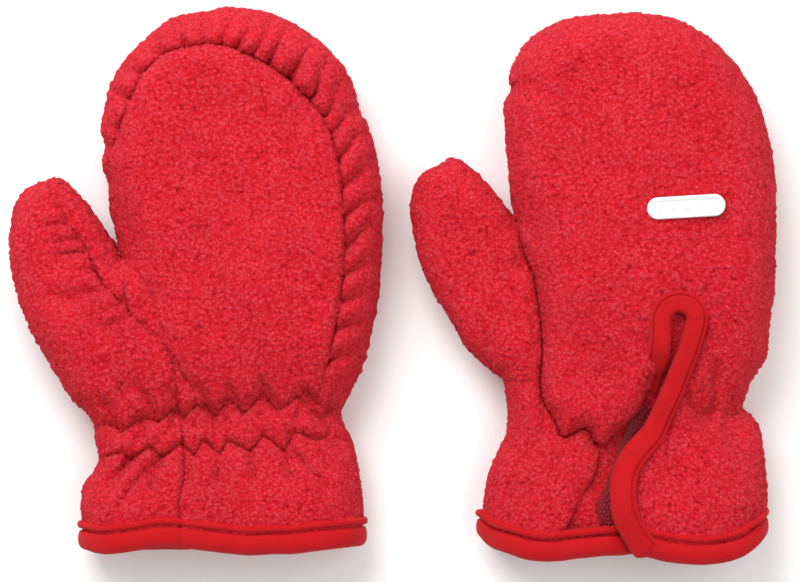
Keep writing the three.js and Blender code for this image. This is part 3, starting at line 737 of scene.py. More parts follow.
def wrist_folds():
    """Short folds that run up from the upper row and down from the lower one."""
    folds = []
    for (_, v0), (u1, v1), (_, v2) in zip(ROW_HIGH[:-2], ROW_HIGH[1:-1], ROW_HIGH[2:]):
        if v1 < v0 and v1 < v2:
            folds.append([(u1, v1 - 1), (u1 - 2.2, v1 + 5), (u1 - 5.5, v1 + 11)])
        elif v1 > v0 and v1 > v2:
            folds.append([(u1 - 0.4, v1 + 0.5), (u1 + 0.3, v1 - 4), (u1 - 1.6, v1 - 9)])
    for (_, v0), (u1, v1), (_, v2) in zip(ROW_LOW[:-2], ROW_LOW[1:-1], ROW_LOW[2:]):
        lean = (u1 + 2) / 32
        if v1 < v0 and v1 < v2:
            folds.append([(u1, v1 + 1), (u1 + 2.5 * lean, v1 - 4), (u1 + 7 * lean, v1 - 11)])
    return folds + [[(-37, 31), (-41, 27.5), (-45, 24)], [(-29, 31), (-36, 25), (-41.5, 18.5)],
                    [(-22, 31), (-30, 23), (-37, 14)], [(14, 32), (20, 25), (26, 20)],
                    [(22, 42), (27, 37), (32, 27)], [(17, 51), (22, 45), (27, 41)]]


def left_palm(p, spec, rim):
    """The palm side of the left mitten, which is up."""
    away = nearest(p, rim)[0]
    egg, egg_at, egg_side = nearest(p, curve(EGG, 0.8))
    seam, seam_at, seam_side = nearest(p, curve(THUMB_SEAM, 0.8))
    u, v = p[:, 0], p[:, 1]
    beyond = (u - THUMB_PIVOT[0]) * THUMB_AXIS[0] + (v - THUMB_PIVOT[1]) * THUMB_AXIS[1]
    thumb = (seam_side < 0) & (u < -15)
    on_hand = ~thumb & ~((beyond > 20) & (u < -39))
    top = height_line(v)
    lower = step01((beyond - 2) / 26)
    full = np.where(on_hand, top, top + (spec["thumb_top"] - top) * np.where(thumb, lower, 1.0))
    # the palm stands proud of the gathers
    ring = on_hand & (egg_side > 0)
    palm = on_hand & (egg_side < 0)
    above = step01((v - 48) / 12)
    full = full + 1.0 * palm * round_up(egg, 9) * above
    folds = nearest(np.array(GATHERS, float), curve(EGG, 0.8))[1]
    strong = np.exp(-((u - 6) / 27) ** 2 - ((v - 140) / 24) ** 2)
    lean = 0.7 * step01((u - 18) / 10) + 0.35 * lumps(np.column_stack([p, np.zeros(len(p))]), 12.0, 71)
    slanted = egg_at + lean * np.clip(egg, 0, 6.5)
    places = np.concatenate([[-6], np.sort(folds), [folds.max() + 9, folds.max() + 19]])
    puff, gap = puffs(slanted, places, 1.9)
    size = np.clip(gap / 8, 0.5, 1.3) * (0.42 + 0.58 * np.exp(-(np.maximum(egg - 1.5, 0) / 4.8) ** 1.5))
    full = full + ring * above * ((3.8 + 2.4 * strong) * size * (puff - 0.78) - 0.4)
    groove = (1.5 + 2.0 * strong) * above + 0.8
    full = full - groove * np.where(palm, sink(egg, 5.5), np.where(ring, sink(egg, 3.4), 0))
    # the thumb seam, deepest at the crotch, puckered on the thumb's side
    depth = 1.7 + 2.4 * np.exp(-((seam_at - 30) / 17) ** 2) + 0.6 * step01((seam_at - 30) / 25)
    depth = depth * (1 - 0.2 * step01((38 - v) / 20))
    narrow = 1 - 0.66 * step01((40 - v) / 6)
    full = full - depth * sink(seam, narrow * np.where(thumb, 5.0, 6.5))
    pucker, _ = puffs(seam_at + 0.5 * seam, uneven(8, 140, 5.8, 5), 2.0)
    tuck = np.exp(-seam / 4.6) * step01(seam / 0.8) * step01((seam_at - 4) / 9) * step01((56 - seam_at) / 14)
    full = full + 3.2 * (pucker - 0.8) * tuck * np.where(thumb, 1.0, 0.3)
    for line, deep, wide in THUMB_CREASES:
        full = full - thumb * crease(p, line, deep, wide)
    fold, fold_at, fold_side = nearest(p, curve(PALM_CREASE, 0.8))
    full = full - ~thumb * crease(p, PALM_HOLLOW, 3.4, 17.0)
    deep = 2.6 * (1 - 0.45 * np.exp(-((fold_at - 22) / 9) ** 2))
    full = full - deep * sink(fold, np.where(fold_side < 0, 6.5, 4.0)) * (~thumb)
    # the gathered wrist
    for row in (ROW_HIGH, ROW_LOW):
        d, _, side = nearest(p, resample(np.array(row), 0.6))
        full = full - 4.1 * sink(d, np.where(side > 0, 3.6, 4.8))
    for line in wrist_folds():
        full = full - crease(p, line, 2.7, 3.0)
    full = full + 0.9 * pleats(p, 23)
    full = full + 0.9 * wide_lumps(p, 31)
    mid = middle_height(p)
    edge = np.where(thumb | ~on_hand, 10.5, RIM_R)
    return mid + (full - mid) * round_up(away, edge) + 1.2 * (1 - np.exp(-away / 30))


def right_back(p, spec, rim):
    """The back of the right mitten, which is up."""
    away = nearest(p, rim)[0]
    edge, _, edge_side = nearest(p, curve(HAND_EDGE, 0.8))
    slit = nearest(p, np.vstack([SLIT, SLIT[:1]]))[0]
    u, v = p[:, 0], p[:, 1]
    hand = ((edge_side > 0) & (v < 98)) | ((v >= 98) & (u > -37.2 - 0.28 * (v - 98)))
    flap = inside(p, flap_area()) | (nearest(p, curve(FLAP_EDGE, 0.5))[0] < 0.6)
    hand |= flap | (u > 17) | ((v > 60) & (u > 0))
    cuff_left = ~hand & (v < 52)
    top = height_line(v) + 1.2 * step01((v - 60) / 20) * hand
    lift = 2.6 * np.exp(-((v - 41) / 9) ** 2) * (u < 6) * hand
    beyond = (u - THUMB_PIVOT[0]) * THUMB_AXIS[0] + (v - THUMB_PIVOT[1]) * THUMB_AXIS[1]
    low = np.where(cuff_left, 21.5, 21.5 + (spec["thumb_top"] - 21.5) * step01(beyond / 25))
    full = np.where(hand, top + lift, low)
    # the hand lies over the thumb and the cuff and curls down to them
    at_line = low - 4.2
    reach = 6.0 + 8.0 * step01((v - 48) / 26)
    drop = np.where(hand, (top + lift - at_line) * sink(edge, reach), 4.2 * sink(edge, 6.0))
    by_slit = 1 - step01((v - 48) / 9) * (u > -10)
    full = full - drop * (u < 5) * np.where(flap, 0, 1) * by_slit
    full = full - 1.6 * sink(nearest(p, curve(SIDE_FOLD, 0.8))[0], 5.5) * (~hand)
    full = full - crease(p, [(-38.5, 88), (-36, 85), (-33.5, 84)], 1.6, 4.5)
    for line, deep, wide in BACK_CREASES:
        full = full - crease(p, line, deep, wide)
    right_of_slit = step01((u - 14) / 6)
    full = full + 1.3 * pleats(p, 61, 9.0, 0.2) * right_of_slit
    row = nearest(p, curve([(14, 41), (20, 42.5), (26, 41.5), (31, 42.5)], 0.8))[0]
    full = full - 1.5 * sink(row, 4.5) * right_of_slit
    angle = np.degrees(np.arctan2(v - ARCH_CENTRE[1], u - ARCH_CENTRE[0]))
    pucker, _ = puffs(angle, uneven(-200, 200, 24, 3))
    ring = np.abs(np.hypot(u - ARCH_CENTRE[0], v - ARCH_CENTRE[1]) - 11)
    full = full + 0.8 * (pucker - 0.8) * np.exp(-ring / 3.0) * (v > 60)
    under_tape = 0.7 * sink(np.maximum(slit - 2.6, 0), 3.5)
    full = full - np.where(flap, under_tape, 1.5 * sink(slit, 4.5))
    full = full + 1.0 * wide_lumps(p, 83)
    mid = middle_height(p)
    rounding = np.where(~hand & (v > 52), 9.5, RIM_R)
    return mid + (full - mid) * round_up(away, rounding) + 1.4 * (1 - np.exp(-away / 30))


def underside(p, spec, rim):
    """The side that rests on the table, nearly flat, with the rim curling up."""
    away = nearest(p, rim)[0]
    u, v = p[:, 0], p[:, 1]
    beyond = (u - THUMB_PIVOT[0]) * THUMB_AXIS[0] + (v - THUMB_PIVOT[1]) * THUMB_AXIS[1]
    lift = 2.2 * step01((beyond - 8) / 18) * (u < -34)
    wave = 0.5 + 0.45 * (1 + wide_lumps(p, spec["seed"]) * 0.6)
    mid = middle_height(p)
    bottom = lift + wave + 0.7 * (0.75 + pleats(p, spec["seed"] + 2, 9.0, 0.1))
    return mid + (bottom - mid) * round_up(away, 10.0)


# ------------------------------------------------------------------ one mitten

def surface_of(spec, up):
    """The height function of the upper or lower side."""
    rim = outline_of(spec, "hem_up")[1]
    if up:
        shape = right_back if spec["back_up"] else left_palm
    else:
        shape = underside
    return lambda p: shape(np.atleast_2d(np.asarray(p, float)), spec, rim)


def build_shell(spec, origin):
    """Both sides of a mitten as one cloth, joined along the rim, with the part of each triangle."""
    sides = []
    for up, hem, step in ((True, "hem_up", TOP_STEP), (False, "hem_down", UNDER_STEP)):
        closed, _ = outline_of(spec, hem)
        has_slit = up == spec["back_up"]
        lines = [curve(THUMB_SEAM, 0.8), curve(EGG, 0.8)] if up and not spec["back_up"] else []
        if up and spec["back_up"]:
            lines = [curve(HAND_EDGE[:EDGE_NOTCH], 0.8)]
        if has_slit:
            keep = SLIT[inside(SLIT, closed)]
            lines += split_runs(keep)
        plan, tris = triangles(closed, step, lines)
        z = surface_of(spec, up)(plan)
        verts = np.column_stack([plan, z])
        tris = tris if up else tris[:, ::-1]
        sides.append((verts, tris, np.full(len(tris), up)))
    (va, ta, ua), (vb, tb, ub) = sides
    rim = outline_of(spec, "hem_up")[1]
    edge_a = np.where(nearest(va[:, :2], rim)[0] < 0.02)[0]
    edge_b = np.where(nearest(vb[:, :2], rim)[0] < 0.02)[0]
    return join_sides(va, ta, ua, vb, tb, ub, edge_a, edge_b, origin, spec)


def split_runs(points):
    """Cuts a list of points wherever two neighbours are far apart."""
    gaps = np.where(np.linalg.norm(np.diff(points, axis=0), axis=1) > 2.5)[0] + 1
    return [run for run in np.split(points, gaps) if len(run) > 3]


def join_sides(va, ta, ua, vb, tb, ub, edge_a, edge_b, origin, spec):
    """Moves the rim of the lower side onto the upper one, so that no light shows between them."""
    rim = outline_of(spec, "hem_up")[1]
    at_a = nearest(va[edge_a, :2], rim)[1]
    order = np.argsort(at_a)
    at_a, edge_a = at_a[order], edge_a[order]
    at_b = nearest(vb[edge_b, :2], rim)[1]
    for k in range(3):
        vb[edge_b, k] = np.interp(at_b, at_a, va[edge_a, k])
    offset = len(va)
    verts = np.vstack([va, vb])
    tris = np.vstack([ta, tb + offset])
    cloth = finish_cloth(verts, tris, origin, spec["seed"])
    # one normal and one lift for both copies of the rim
    rim_lift = np.einsum("ij,ij->i", cloth["outer"][edge_a] - va[edge_a], cloth["flow"][edge_a])
    flat = cloth["flow"][edge_a] * (1, 1, 0.15)
    flat = flat / np.linalg.norm(flat, axis=1)[:, None]
    place = va[edge_a] + flat * rim_lift[:, None]
    pile = cloth["pile"][edge_a]
    for ids, at in ((edge_a, at_a), (edge_b + offset, at_b)):
        for k in range(3):
            cloth["outer"][ids, k] = np.interp(at, at_a, place[:, k])
            cloth["flow"][ids, k] = np.interp(at, at_a, flat[:, k])
            cloth["normal"][ids, k] = np.interp(at, at_a, flat[:, k])
        cloth["pile"][ids] = np.interp(at, at_a, pile)
    cloth["up"] = np.concatenate([ua, ub])
    cloth["centre"] = verts[tris].mean(1)
    return cloth


def fold_side(p):
    """How far a point is to the left of the flap's fold line."""
    a, b = np.array(FOLD_FOOT), np.array(FOLD_TOP)
    d = (b - a) / np.linalg.norm(b - a)
    q = p[:, :2] - a
    return d[0] * q[:, 1] - d[1] * q[:, 0]


def parts_of(spec, cloth):
    """Which piece each triangle belongs to."""
    c = cloth["centre"][:, :2]
    u, v = c[:, 0], c[:, 1]
    up = cloth["up"]
    back = up == spec["back_up"]
    beyond = (u - THUMB_PIVOT[0]) * THUMB_AXIS[0] + (v - THUMB_PIVOT[1]) * THUMB_AXIS[1]
    seam = nearest(c, curve(THUMB_SEAM, 0.8))[2]
    if spec["back_up"]:
        edge = nearest(c, curve(HAND_EDGE, 0.8))[2]
        on_thumb = (beyond > THUMB_CUT) & (edge < 0) & (u < -30) & (v > 70)
    else:
        on_thumb = (beyond > THUMB_CUT) & (u < -35)
        on_thumb &= (v < 86) | (u < -34.5 - 0.42 * (v - 86))
    in_slit = back & inside(c, SLIT)
    flap = back & ~in_slit & (fold_side(c) > 0) & (v < 66.5) & inside(c, flap_area())
    names = np.full(len(c), "back_cloth", dtype=object)
    if spec["back_up"]:
        names[~up] = "palm_cloth"
    else:
        egg = nearest(c, curve(EGG, 0.8))[2]
        palm = up & ((egg < 0) | (v < 44)) & ((seam > 0) | (u > -15)) & (u < 29.9)
        names[palm] = "palm_cloth"
        names[up & ~palm & (seam < 0) & (u < -14)] = "thumb_side_cloth"
    if spec["back_up"]:
        edge = nearest(c, curve(HAND_EDGE, 0.8))[2]
        names[up & (edge < 0) & (u < -10)] = "thumb_side_cloth"
    names[on_thumb & back] = "thumb_back_cloth"
    names[on_thumb & ~back] = "thumb_palm_cloth"
    if not spec["back_up"]:
        names[on_thumb & up & (seam > 0)] = "thumb_back_cloth"
    names[flap] = "flap_cloth"
    names[in_slit] = ""
    return names


def flap_area():
    edge = curve(FLAP_EDGE, 0.5)
    return np.vstack([edge, [(FLAP_EDGE[-1][0], BELOW_HEM), (40, BELOW_HEM), (40, FLAP_EDGE[0][1])]])


def blend_thumb(obj):
    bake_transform(obj)


def blend_flap(obj):
    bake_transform(obj)


def lift_path(plan, z, drop):
    """Puts a plan line on a surface, and gives its across and outward directions."""
    eps = 0.8
    height = z(plan)
    du = (z(plan + (eps, 0)) - z(plan - (eps, 0))) / (2 * eps)
    dv = (z(plan + (0, eps)) - z(plan - (0, eps))) / (2 * eps)
    n = np.column_stack([-du, -dv, np.ones(len(plan))])
    for _ in range(4):
        n[1:-1] = (n[:-2] + 2 * n[1:-1] + n[2:]) / 4
    n /= np.linalg.norm(n, axis=1)[:, None]
    path = np.column_stack([plan, height]) - n * drop
    for _ in range(3):
        path[1:-1] = (path[:-2] + 2 * path[1:-1] + path[2:]) / 4
    t = along(path)
    across = np.cross(n, t)
    across /= np.linalg.norm(across, axis=1)[:, None]
    return path, across, n


def tape_section(half, thick, ribs=7):
    """A folded tape with fine ribs along it, and a narrow second edge on the positive side."""
    a = np.linspace(-half, half, 29)
    crown = thick / 2 * np.clip(1 - np.abs(a / half) ** 5, 0, 1) ** 0.5
    outer = crown + 0.03 * np.cos(a / half * math.pi * ribs) * (np.abs(a) < half * 0.85)
    outer = outer - 0.95 * np.exp(-((a - half * 0.62) / 0.26) ** 2)
    back = np.linspace(half, -half, 9)[1:-1]
    inner = -thick / 2 * np.clip(1 - np.abs(back / half) ** 5, 0, 1) ** 0.5
    return np.vstack([np.column_stack([a, outer]), np.column_stack([back, inner])])


def hem_section(count, seed):
    """The hem's folded binding: a round lower roll and a thin upper strip, uneven along its length."""
    a = np.array([-3.3, -3.1, -2.6, -1.8, -0.8, 0.4, 1.6, 2.4, 2.85, 3.1, 3.3, 3.7, 4.6, 5.3, 5.5])
    b = np.array([0.0, 1.3, 2.3, 2.9, 3.2, 3.25, 3.1, 2.8, 1.9, 1.4, 2.5, 3.3, 3.5, 3.0, 1.2])
    inner_a = np.array([5.5, 3.8, 2.2, 0.5, -1.5, -2.8])
    inner_b = np.array([-1.2, -1.7, -1.9, -2.1, -2.0, -1.3])
    base = np.vstack([np.column_stack([a, b]), np.column_stack([inner_a, inner_b])])
    s = np.arange(count, dtype=float)
    q = np.column_stack([s * 0.6, np.zeros(count), np.full(count, seed)])
    wobble = lumps(q, 7.0, seed)
    scallop = np.abs(np.sin(s * 0.6 / 3.0 * math.pi))
    section = np.repeat(base[None], count, axis=0)
    groove = (base[:, 0] > 2.6) & (base[:, 0] < 3.5) & (base[:, 1] > 0)
    section[:, :, 1] *= (1 + 0.13 * wobble)[:, None]
    section[:, groove, 1] -= 0.35 * scallop[:, None]
    section[:, :, 0] += (0.35 * wobble)[:, None] + 0.22 * (section[:, :, 0] > 2.5) * (scallop[:, None] - 0.5)
    return section


def hem_path(spec):
    """Round the cuff's mouth along the middle of the cloth: over the top, round the end, underneath."""
    top, low = surface_of(spec, True), surface_of(spec, False)
    up, down = curve(spec["hem_up"], 0.3), curve(spec["hem_down"], 0.3)
    left, right = spec["hem_up"][0][0], spec["hem_up"][-1][0]
    r = 11.0
    steps = r * (1 - np.cos(np.radians(np.linspace(4, 90, 26))))
    u_top = np.concatenate([left + steps, np.linspace(left + r, right - r, 110)[1:-1], right - steps[::-1]])
    parts = []
    for u, hem, height in ((u_top, up, top), (u_top[::-1], down, low)):
        p = np.column_stack([u, np.interp(u, hem[:, 0], hem[:, 1])])
        parts.append(np.column_stack([p, height(p)]))
    ring = np.vstack(parts)
    for _ in range(2):
        ring = (np.roll(ring, 1, axis=0) + 2 * ring + np.roll(ring, -1, axis=0)) / 4
    ring = resample(np.vstack([ring, ring[:1]]), 0.6)[:-1]
    t = np.roll(ring, -1, axis=0) - np.roll(ring, 1, axis=0)
    t /= np.linalg.norm(t, axis=1)[:, None]
    n = np.cross(np.array([0, 1.0, 0])[None], -t)
    n *= np.sign(((ring - ring.mean(0)) * n).sum(1).mean())
    n /= np.linalg.norm(n, axis=1)[:, None]
    across = np.cross(t, n)
    across *= np.sign(across[:, 1].mean())
    return ring - n * (CLOTH / 2), across, n


def hem_pieces(spec, origin):
    """The hem, open where the slit is, and the separate part of it that is on the flap."""
    side = spec["side"]
    ring, across, n = hem_path(spec)
    count = len(ring)
    section = hem_section(count, spec["seed"])
    slit_side = n[:, 2] > 0 if spec["back_up"] else n[:, 2] < 0
    u = ring[:, 0]
    start_u, fold_u = FLAP_EDGE[-1][0] - 1.0, FOLD_FOOT[0]
    on_flap = np.where(slit_side & (u > start_u) & (u < fold_u + 3.5))[0]
    past_fold = on_flap[u[on_flap] > fold_u]
    if spec["back_up"]:
        round_cuff = (past_fold.min() + np.arange(count - past_fold.min() + on_flap.min())) % count
    else:
        round_cuff = (past_fold.max() - np.arange(count - on_flap.max() + past_fold.max())) % count
    under = on_flap[np.argsort(u[on_flap])]
    fixed = np.concatenate([round_cuff, under[u[under] < 8.0]])
    sunk = HEM_SINK * step01((u + 11) / 12) * (slit_side & (u < 9))
    low = ring - n * sunk[:, None]
    seam = across * 3.05 + n * 1.65
    tucked = section.copy()
    tucked[past_fold] *= HEM_TUCK
    made = []
    for name, ids, line, shape in (("hem", fixed, low, section), ("flap_hem", on_flap, ring, tucked)):
        tape = sweep(f"{side}_{name}_tape", line[ids], across[ids], n[ids], shape[ids], BINDING, origin)
        row = stitch_row(f"{side}_{name}_stitches", (line + seam)[ids], n[ids], THREAD, origin)
        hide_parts(f"{side}_{name}_binding")
        for obj in (tape, row):
            if name == "hem":
                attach(obj, f"{side}_hand")
            else:
                blend_flap(obj)
            made.append(obj)
    return made


def slit_way(spec):
    """The way out of the mitten on the side with the slit: up is 1, down is -1."""
    return 1.0 if spec["back_up"] else -1.0


def layer(spec, polygon, drop, step, origin, seed, thick, mat, name, pile=False):
    """A separate ply that follows the closure's surface at a depth below it."""
    out = slit_way(spec)
    plan, tris = triangles(resample(np.vstack([polygon, polygon[:1]]), step)[:-1], step)
    calm = smooth_back(spec, plan)
    rise = 3.6 * step01((plan[:, 1] - 50) / 9) if pile else 0
    verts = np.column_stack([plan, calm - out * (drop - rise)])
    tris = tris if out > 0 else tris[:, ::-1]
    cloth = finish_cloth(verts, tris, origin, seed, height=NUB_HEIGHT if pile else 0.02)
    return cloth_piece(name, cloth, np.ones(len(tris), bool), mat, thick)


def smooth_back(spec, plan):
    """The closure's surface without its small folds."""
    v = plan[:, 1]
    rim = outline_of(spec, "hem_up")[1]
    away = nearest(plan, rim)[0]
    if not spec["back_up"]:
        return np.full(len(plan), 0.9)
    mid = middle_height(plan)
    return mid + (height_line(v) - mid) * round_up(away, RIM_R) + 1.4 * (1 - np.exp(-away / 30))


UNDERLAP = [(-25, 3.5), (-23, 12), (-19.5, 22), (-18, 34), (-12, 43), (-2, 51), (4.5, 54), (7.0, 57.5),
            (7.1, 65), (7.8, 70.5), (12.5, 72.2), (15.0, 66), (12.5, 54), (9.5, 40), (9.5, 24), (9.5, 4)]
LOOP_TAPE = [(-3.6, 9), (-4.4, 17), (-3.6, 23), (1.5, 31), (6.5, 36.5), (11.5, 37), (13, 26), (12.5, 9)]


def tape_polygon():
    edge = curve(TAPE_EDGE, 1.0)
    return np.vstack([edge, [(-2, 5.6), (7, 5.8), (8.0, 20), (6.5, 38), (1, 44)]])[::-1]


def closure(spec, origin):
    """Underlap, hook tape and loop tape."""
    side = spec["side"]
    under = layer(spec, np.array(UNDERLAP, float), UNDERLAP_DROP, 0.9, origin, spec["seed"] + 4, 2.0, FLEECE,
                  f"{side}_underlap_cloth", True)
    tape = layer(spec, tape_polygon(), TAPE_DROP, 1.2, origin, 3, 1.0, HOOKS, f"{side}_hook_tape_base")
    loop = layer(spec, np.array(LOOP_TAPE, float), LOOP_DROP, 1.2, origin, 5, 0.8, LOOPS,
                 f"{side}_loop_tape_base")
    for obj, node, slot in ((under, "slit_underlap", "red_fleece"), (tape, "hook_tape", "hook_tape"),
                            (loop, "loop_tape", "loop_tape")):
        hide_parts(f"{side}_{node}")
        if node == "loop_tape":
            blend_flap(obj)
        else:
            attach(obj, f"{side}_hand")
    return {"underlap_cloth": under, "hook_tape_base": tape, "loop_tape_base": loop,
            "hooks": hooks(spec, origin)}


def hooks(spec, origin):
    """Rows of small plastic hooks on the tape, with its plain sewn border left free."""
    polygon = tape_polygon()
    places = hex_points(polygon.min(0), polygon.max(0), 1.15)
    places = places[inside(places, polygon)]
    places = places[nearest(places, np.vstack([polygon, polygon[:1]]))[0] > 0.8]
    out = slit_way(spec)
    z = smooth_back(spec, places) - out * (TAPE_DROP - 0.02)
    where = np.column_stack([places, z])
    rng = np.random.default_rng(spec["seed"])
    turn = rng.choice([0.0, math.pi], len(where)) + rng.normal(0, 0.25, len(where)) + 1.2
    forward = np.column_stack([np.cos(turn), np.sin(turn), np.zeros(len(where))])
    up = np.column_stack([np.zeros((len(where), 2)), np.full(len(where), out)])
    shape, faces = tube_shape([(0, 0, 0.17), (0, 0.45, 0.15), (0.12, 0.78, 0.14), (0.38, 0.86, 0.13),
                               (0.55, 0.66, 0.10)], 5)
    obj = repeat_shape(f"{spec['side']}_hooks", where, forward, up, shape, faces, HOOK_TIPS, origin)
    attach(obj, f"{spec['side']}_hand")
    return obj


def bindings(spec, origin):
    """The tape round the arch of the slit and the tape down the flap's edge."""
    side = spec["side"]
    ang = np.radians(np.linspace(178, 2, 50))
    arch = np.stack([ARCH_CENTRE[0] + ARCH_R * np.cos(ang), ARCH_CENTRE[1] + ARCH_R * np.sin(ang)], 1)
    limb = np.array([(1.4, 49.0), (3.5, 57.0), (4.3, 63.9)])
    plan = resample(catmull(np.vstack([limb, arch[::7]])), 0.7)
    foot = [(1.4, 1.4 if spec["back_up"] else 2.6)]
    edge = resample(catmull(np.vstack([arch[-10:-1:3], arch[-1:], FLAP_EDGE[1:], foot])), 0.7)
    made = []
    for name, line in (("slit_binding", plan), ("flap_edge_binding", edge)):
        path, across, n = lift_path(line, lambda q: smooth_back(spec, q), -0.2)
        if name == "slit_binding":
            path[:, 2] -= LIMB_SINK * step01((62 - line[:, 1]) / 11)
        if not spec["back_up"]:
            path = np.column_stack([line, np.full(len(line), 1.5)])
            n = np.tile([0, 0, -1.0], (len(line), 1))
            across = np.cross(n, along(path))
            across /= np.linalg.norm(across, axis=1)[:, None]
        section = np.repeat(tape_section(TAPE_HALF, TAPE_THICK)[None], len(path), axis=0)
        if name == "flap_edge_binding":
            section[:, :, 0] *= 1 + 0.22 * step01((44 - line[:, 1:]) / 14)
            section *= np.sqrt(np.clip((line[:, 1] - line[-1, 1] + 0.35) / 1.6, 0.05, 1))[:, None, None]
        obj = sweep(f"{side}_{name}_tape", path, across, n, section, BINDING, origin)
        if name == "slit_binding":
            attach(obj, f"{side}_hand")
        else:
            blend_flap(obj)
        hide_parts(f"{side}_{name}")
        made.append(obj)
    return made


def stitch_row(name, path, out, mat, origin, spacing=2.4, length=1.5, radius=0.2):
    path = resample(path, 0.3)
    gone = np.arange(len(path)) * 0.3
    at = np.arange(spacing, gone[-1] - spacing, spacing)
    ids = np.clip((at / 0.3).astype(int), 0, len(path) - 1)
    o = out[np.clip((at / gone[-1] * (len(out) - 1)).astype(int), 0, len(out) - 1)]
    h = length / 2
    shape, faces = tube_shape([(-h, -0.1, radius * 0.4), (-h * 0.7, 0.08, radius), (h * 0.7, 0.08, radius),
                               (h, -0.1, radius * 0.4)])
    return repeat_shape(name, path[ids], along(path)[ids], o, shape, faces, mat, origin)


def badge(spec, origin):
    """A plain white rubber pill with a raised rim and a row of small studs."""
    side = spec["side"]
    out = slit_way(spec)
    cx, cy = BADGE
    tilt = BADGE_TILT * out
    ground = float(surface_of(spec, spec["back_up"])(np.array([(cx, cy)]))[0]) + 0.75 * out
    m, half, r = 72, 8.1, 3.2
    ang = np.linspace(0, 2 * math.pi, m, endpoint=False)
    rings = [(0.0, -0.6), (0.0, 0.5), (0.12, 0.85), (0.45, 1.1), (0.85, 1.1), (1.1, 0.9), (1.2, 0.62),
             (2.0, 0.6), (2.8, 0.6)]
    verts = []
    for inset, h in rings:
        x = np.sign(np.cos(ang)) * half * (np.abs(np.cos(ang)) > 1e-9) + (r - inset) * np.cos(ang)
        verts.append(np.column_stack([x, (r - inset) * np.sin(ang), np.full(m, h)]))
    verts = np.vstack(verts)
    k = len(rings)
    i = np.arange(k - 1)[:, None] * m
    j = np.arange(m)[None]
    a, b = i + j, i + (j + 1) % m
    quads = np.stack([a, b, b + m, a + m], 2).reshape(-1, 4)
    faces = np.vstack([quads[:, [0, 1, 2]], quads[:, [0, 2, 3]]])
    centre = len(verts)
    verts = np.vstack([verts, [(0, 0, 0.6)], [(0, 0, -0.6)]])
    s = np.arange(m)
    last = (k - 1) * m
    faces = np.vstack([faces, np.stack([last + s, last + (s + 1) % m, np.full(m, centre)], 1),
                       np.stack([(s + 1) % m, s, np.full(m, centre + 1)], 1)])
    dome, dome_faces = tube_shape([(0, 0, 0.95), (0, 0.25, 0.9), (0, 0.42, 0.7), (0, 0.5, 0.35)], 16)
    for x in STUDS:
        faces = np.vstack([faces, dome_faces + len(verts)])
        verts = np.vstack([verts, dome + (x, 0, 0.6)])
    turned = verts.copy()
    turned[:, 0] = verts[:, 0] * math.cos(tilt) - verts[:, 1] * math.sin(tilt) + cx
    turned[:, 1] = verts[:, 0] * math.sin(tilt) + verts[:, 1] * math.cos(tilt) + cy
    turned[:, 2] = ground + out * verts[:, 2]
    if out < 0:
        faces = faces[:, ::-1]
    obj = mesh_object(f"{side}_badge_pill", to_row(turned, origin), faces, RUBBER)
    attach(obj, f"{side}_hand")
    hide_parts(f"{side}_badge")
    return obj


def elastic(spec, origin, v, name):
    """A soft elastic inside the wrist, as a flattened loop."""
    left, right = (-41.5, 29.5)
    ang = np.linspace(0, 2 * math.pi, ELASTIC_POINTS, endpoint=False)
    a, b = (right - left) / 2 - 3.2, 7.3
    x = (left + right) / 2 + a * np.sign(np.cos(ang)) * np.abs(np.cos(ang)) ** 0.55
    z = 10.6 + b * np.sign(np.sin(ang)) * np.abs(np.sin(ang)) ** 0.55
    ripple = 0.35 * np.sin(ang * 26)
    path = np.column_stack([x, v + ripple * 0.6, z + ripple * 0.3])
    t = np.roll(path, -1, axis=0) - np.roll(path, 1, axis=0)
    t /= np.linalg.norm(t, axis=1)[:, None]
    across = np.tile([0, 1.0, 0], (ELASTIC_POINTS, 1))
    out = np.cross(across, t)
    out /= np.linalg.norm(out, axis=1)[:, None]
    slit_side = np.sin(ang) > 0 if spec["back_up"] else np.sin(ang) < 0
    gap = np.where(slit_side & (x > -19) & (x < 17))[0]
    kept = (gap.max() + 1 + np.arange(ELASTIC_POINTS - len(gap))) % ELASTIC_POINTS
    section = [(-2.5, -0.3), (-1.2, -0.42), (0, -0.3), (1.2, -0.42), (2.5, -0.3), (2.5, 0.3), (1.2, 0.42),
               (0, 0.3), (-1.2, 0.42), (-2.5, 0.3)]
    obj = sweep(f"{spec['side']}_{name}_band", path[kept], across[kept], out[kept], section, ELASTIC, origin)
    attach(obj, f"{spec['side']}_hand")
    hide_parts(f"{spec['side']}_{name}")
    return obj


REPLACED = {
    "palm_cloth": ["palm_panel", "cuff_palm"],
    "back_cloth": ["back_panel", "fingertip_gathers", "finger_side_panel", "cuff_fold_side"],
    "thumb_side_cloth": ["thumb_side_panel", "cuff_back"],
    "thumb_back_cloth": ["thumb_back_side"],
    "thumb_palm_cloth": ["thumb_palm_side"],
    "flap_cloth": ["closure_flap"],
}
FLOOR = "studio_floor"


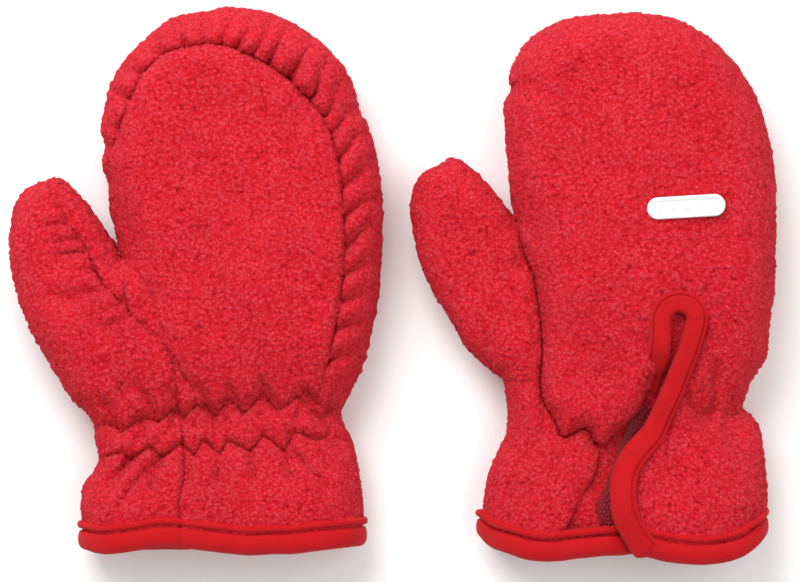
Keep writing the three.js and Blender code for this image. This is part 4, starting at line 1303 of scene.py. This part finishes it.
def mitten(spec):
    side = spec["side"]
    hinge = [j for j in frame["joints"] if j["name"] == f"{side}_thumb_swing"][0]
    origin = (hinge["pos_m"][0] / MM - THUMB_PIVOT[0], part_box(f"{side}_hem_binding")[0].y / MM)
    cloth = build_shell(spec, origin)
    names = parts_of(spec, cloth)
    made = {}
    for name in REPLACED:
        if not (names == name).any():
            continue
        thick = FLAP_CLOTH if name == "flap_cloth" else CLOTH
        obj = cloth_piece(f"{side}_{name}", cloth, names == name, FLEECE, thick)
        if name.startswith("thumb") and name != "thumb_side_cloth":
            blend_thumb(obj)
        elif name == "flap_cloth":
            blend_flap(obj)
        else:
            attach(obj, f"{side}_hand")
        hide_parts(*[f"{side}_{n}" for n in REPLACED[name]])
        made[name] = obj
    hem, hem_row, flap_hem, flap_hem_row = hem_pieces(spec, origin)
    made.update(closure(spec, origin))
    slit_tape, edge_tape = bindings(spec, origin)
    pill = badge(spec, origin)
    bands = [elastic(spec, origin, v, name) for name, v in ELASTIC_ROWS.items()]
    sewn_on = {
        "palm_cloth": [hem, hem_row, *bands], "back_cloth": [slit_tape, pill],
        "flap_cloth": [edge_tape, flap_hem, flap_hem_row], "hook_tape_base": [made.pop("hooks")],
    }


def studio():
    """A pale floor, a soft sky and a large soft light."""
    bpy.ops.mesh.primitive_plane_add(size=4.0, location=(0, 0, -0.0006))
    floor = bpy.context.object
    floor.name = FLOOR
    g = Graph("studio_white")
    at = g.add("ShaderNodeTexCoord").outputs["Object"]
    colour = g.ramp(g.noise(at, 3.0), [(0.0, (0.90, 0.90, 0.90)), (1.0, (0.93, 0.93, 0.93))])
    floor.data.materials.append(g.finish(colour, 0.9, Specular_IOR_Level=0.1))
    world = bpy.data.worlds.new("studio_sky")
    world.use_nodes = True
    world.node_tree.nodes["Background"].inputs["Color"].default_value = (1, 1, 1, 1)
    world.node_tree.nodes["Background"].inputs["Strength"].default_value = SKY
    bpy.context.scene.world = world
    for name, place, size, power in LIGHTS:
        light = bpy.data.lights.new(name, "AREA")
        light.size = size
        light.energy = power
        lamp = bpy.data.objects.new(name, light)
        lamp.location = place
        lamp.rotation_euler = (Vector((0, 0, 0)) - Vector(place)).to_track_quat("-Z", "Y").to_euler()
        bpy.context.scene.collection.objects.link(lamp)


def camera():
    """Straight down, so far off that the pair fills the picture as in a catalogue."""
    data = bpy.data.cameras.new("main")
    data.lens, data.sensor_width = LENS, SENSOR
    data.clip_start = 0.01
    eye = bpy.data.objects.new("main", data)
    eye.location = (0.002, -0.002, HINGE_HEIGHT * MM + PICTURE_WIDTH * LENS / SENSOR)
    bpy.context.scene.collection.objects.link(eye)
    bpy.context.scene.camera = eye


bpy.context.scene.view_settings.view_transform = "Standard"
for one in (LEFT, RIGHT):
    mitten(one)
studio()
camera()
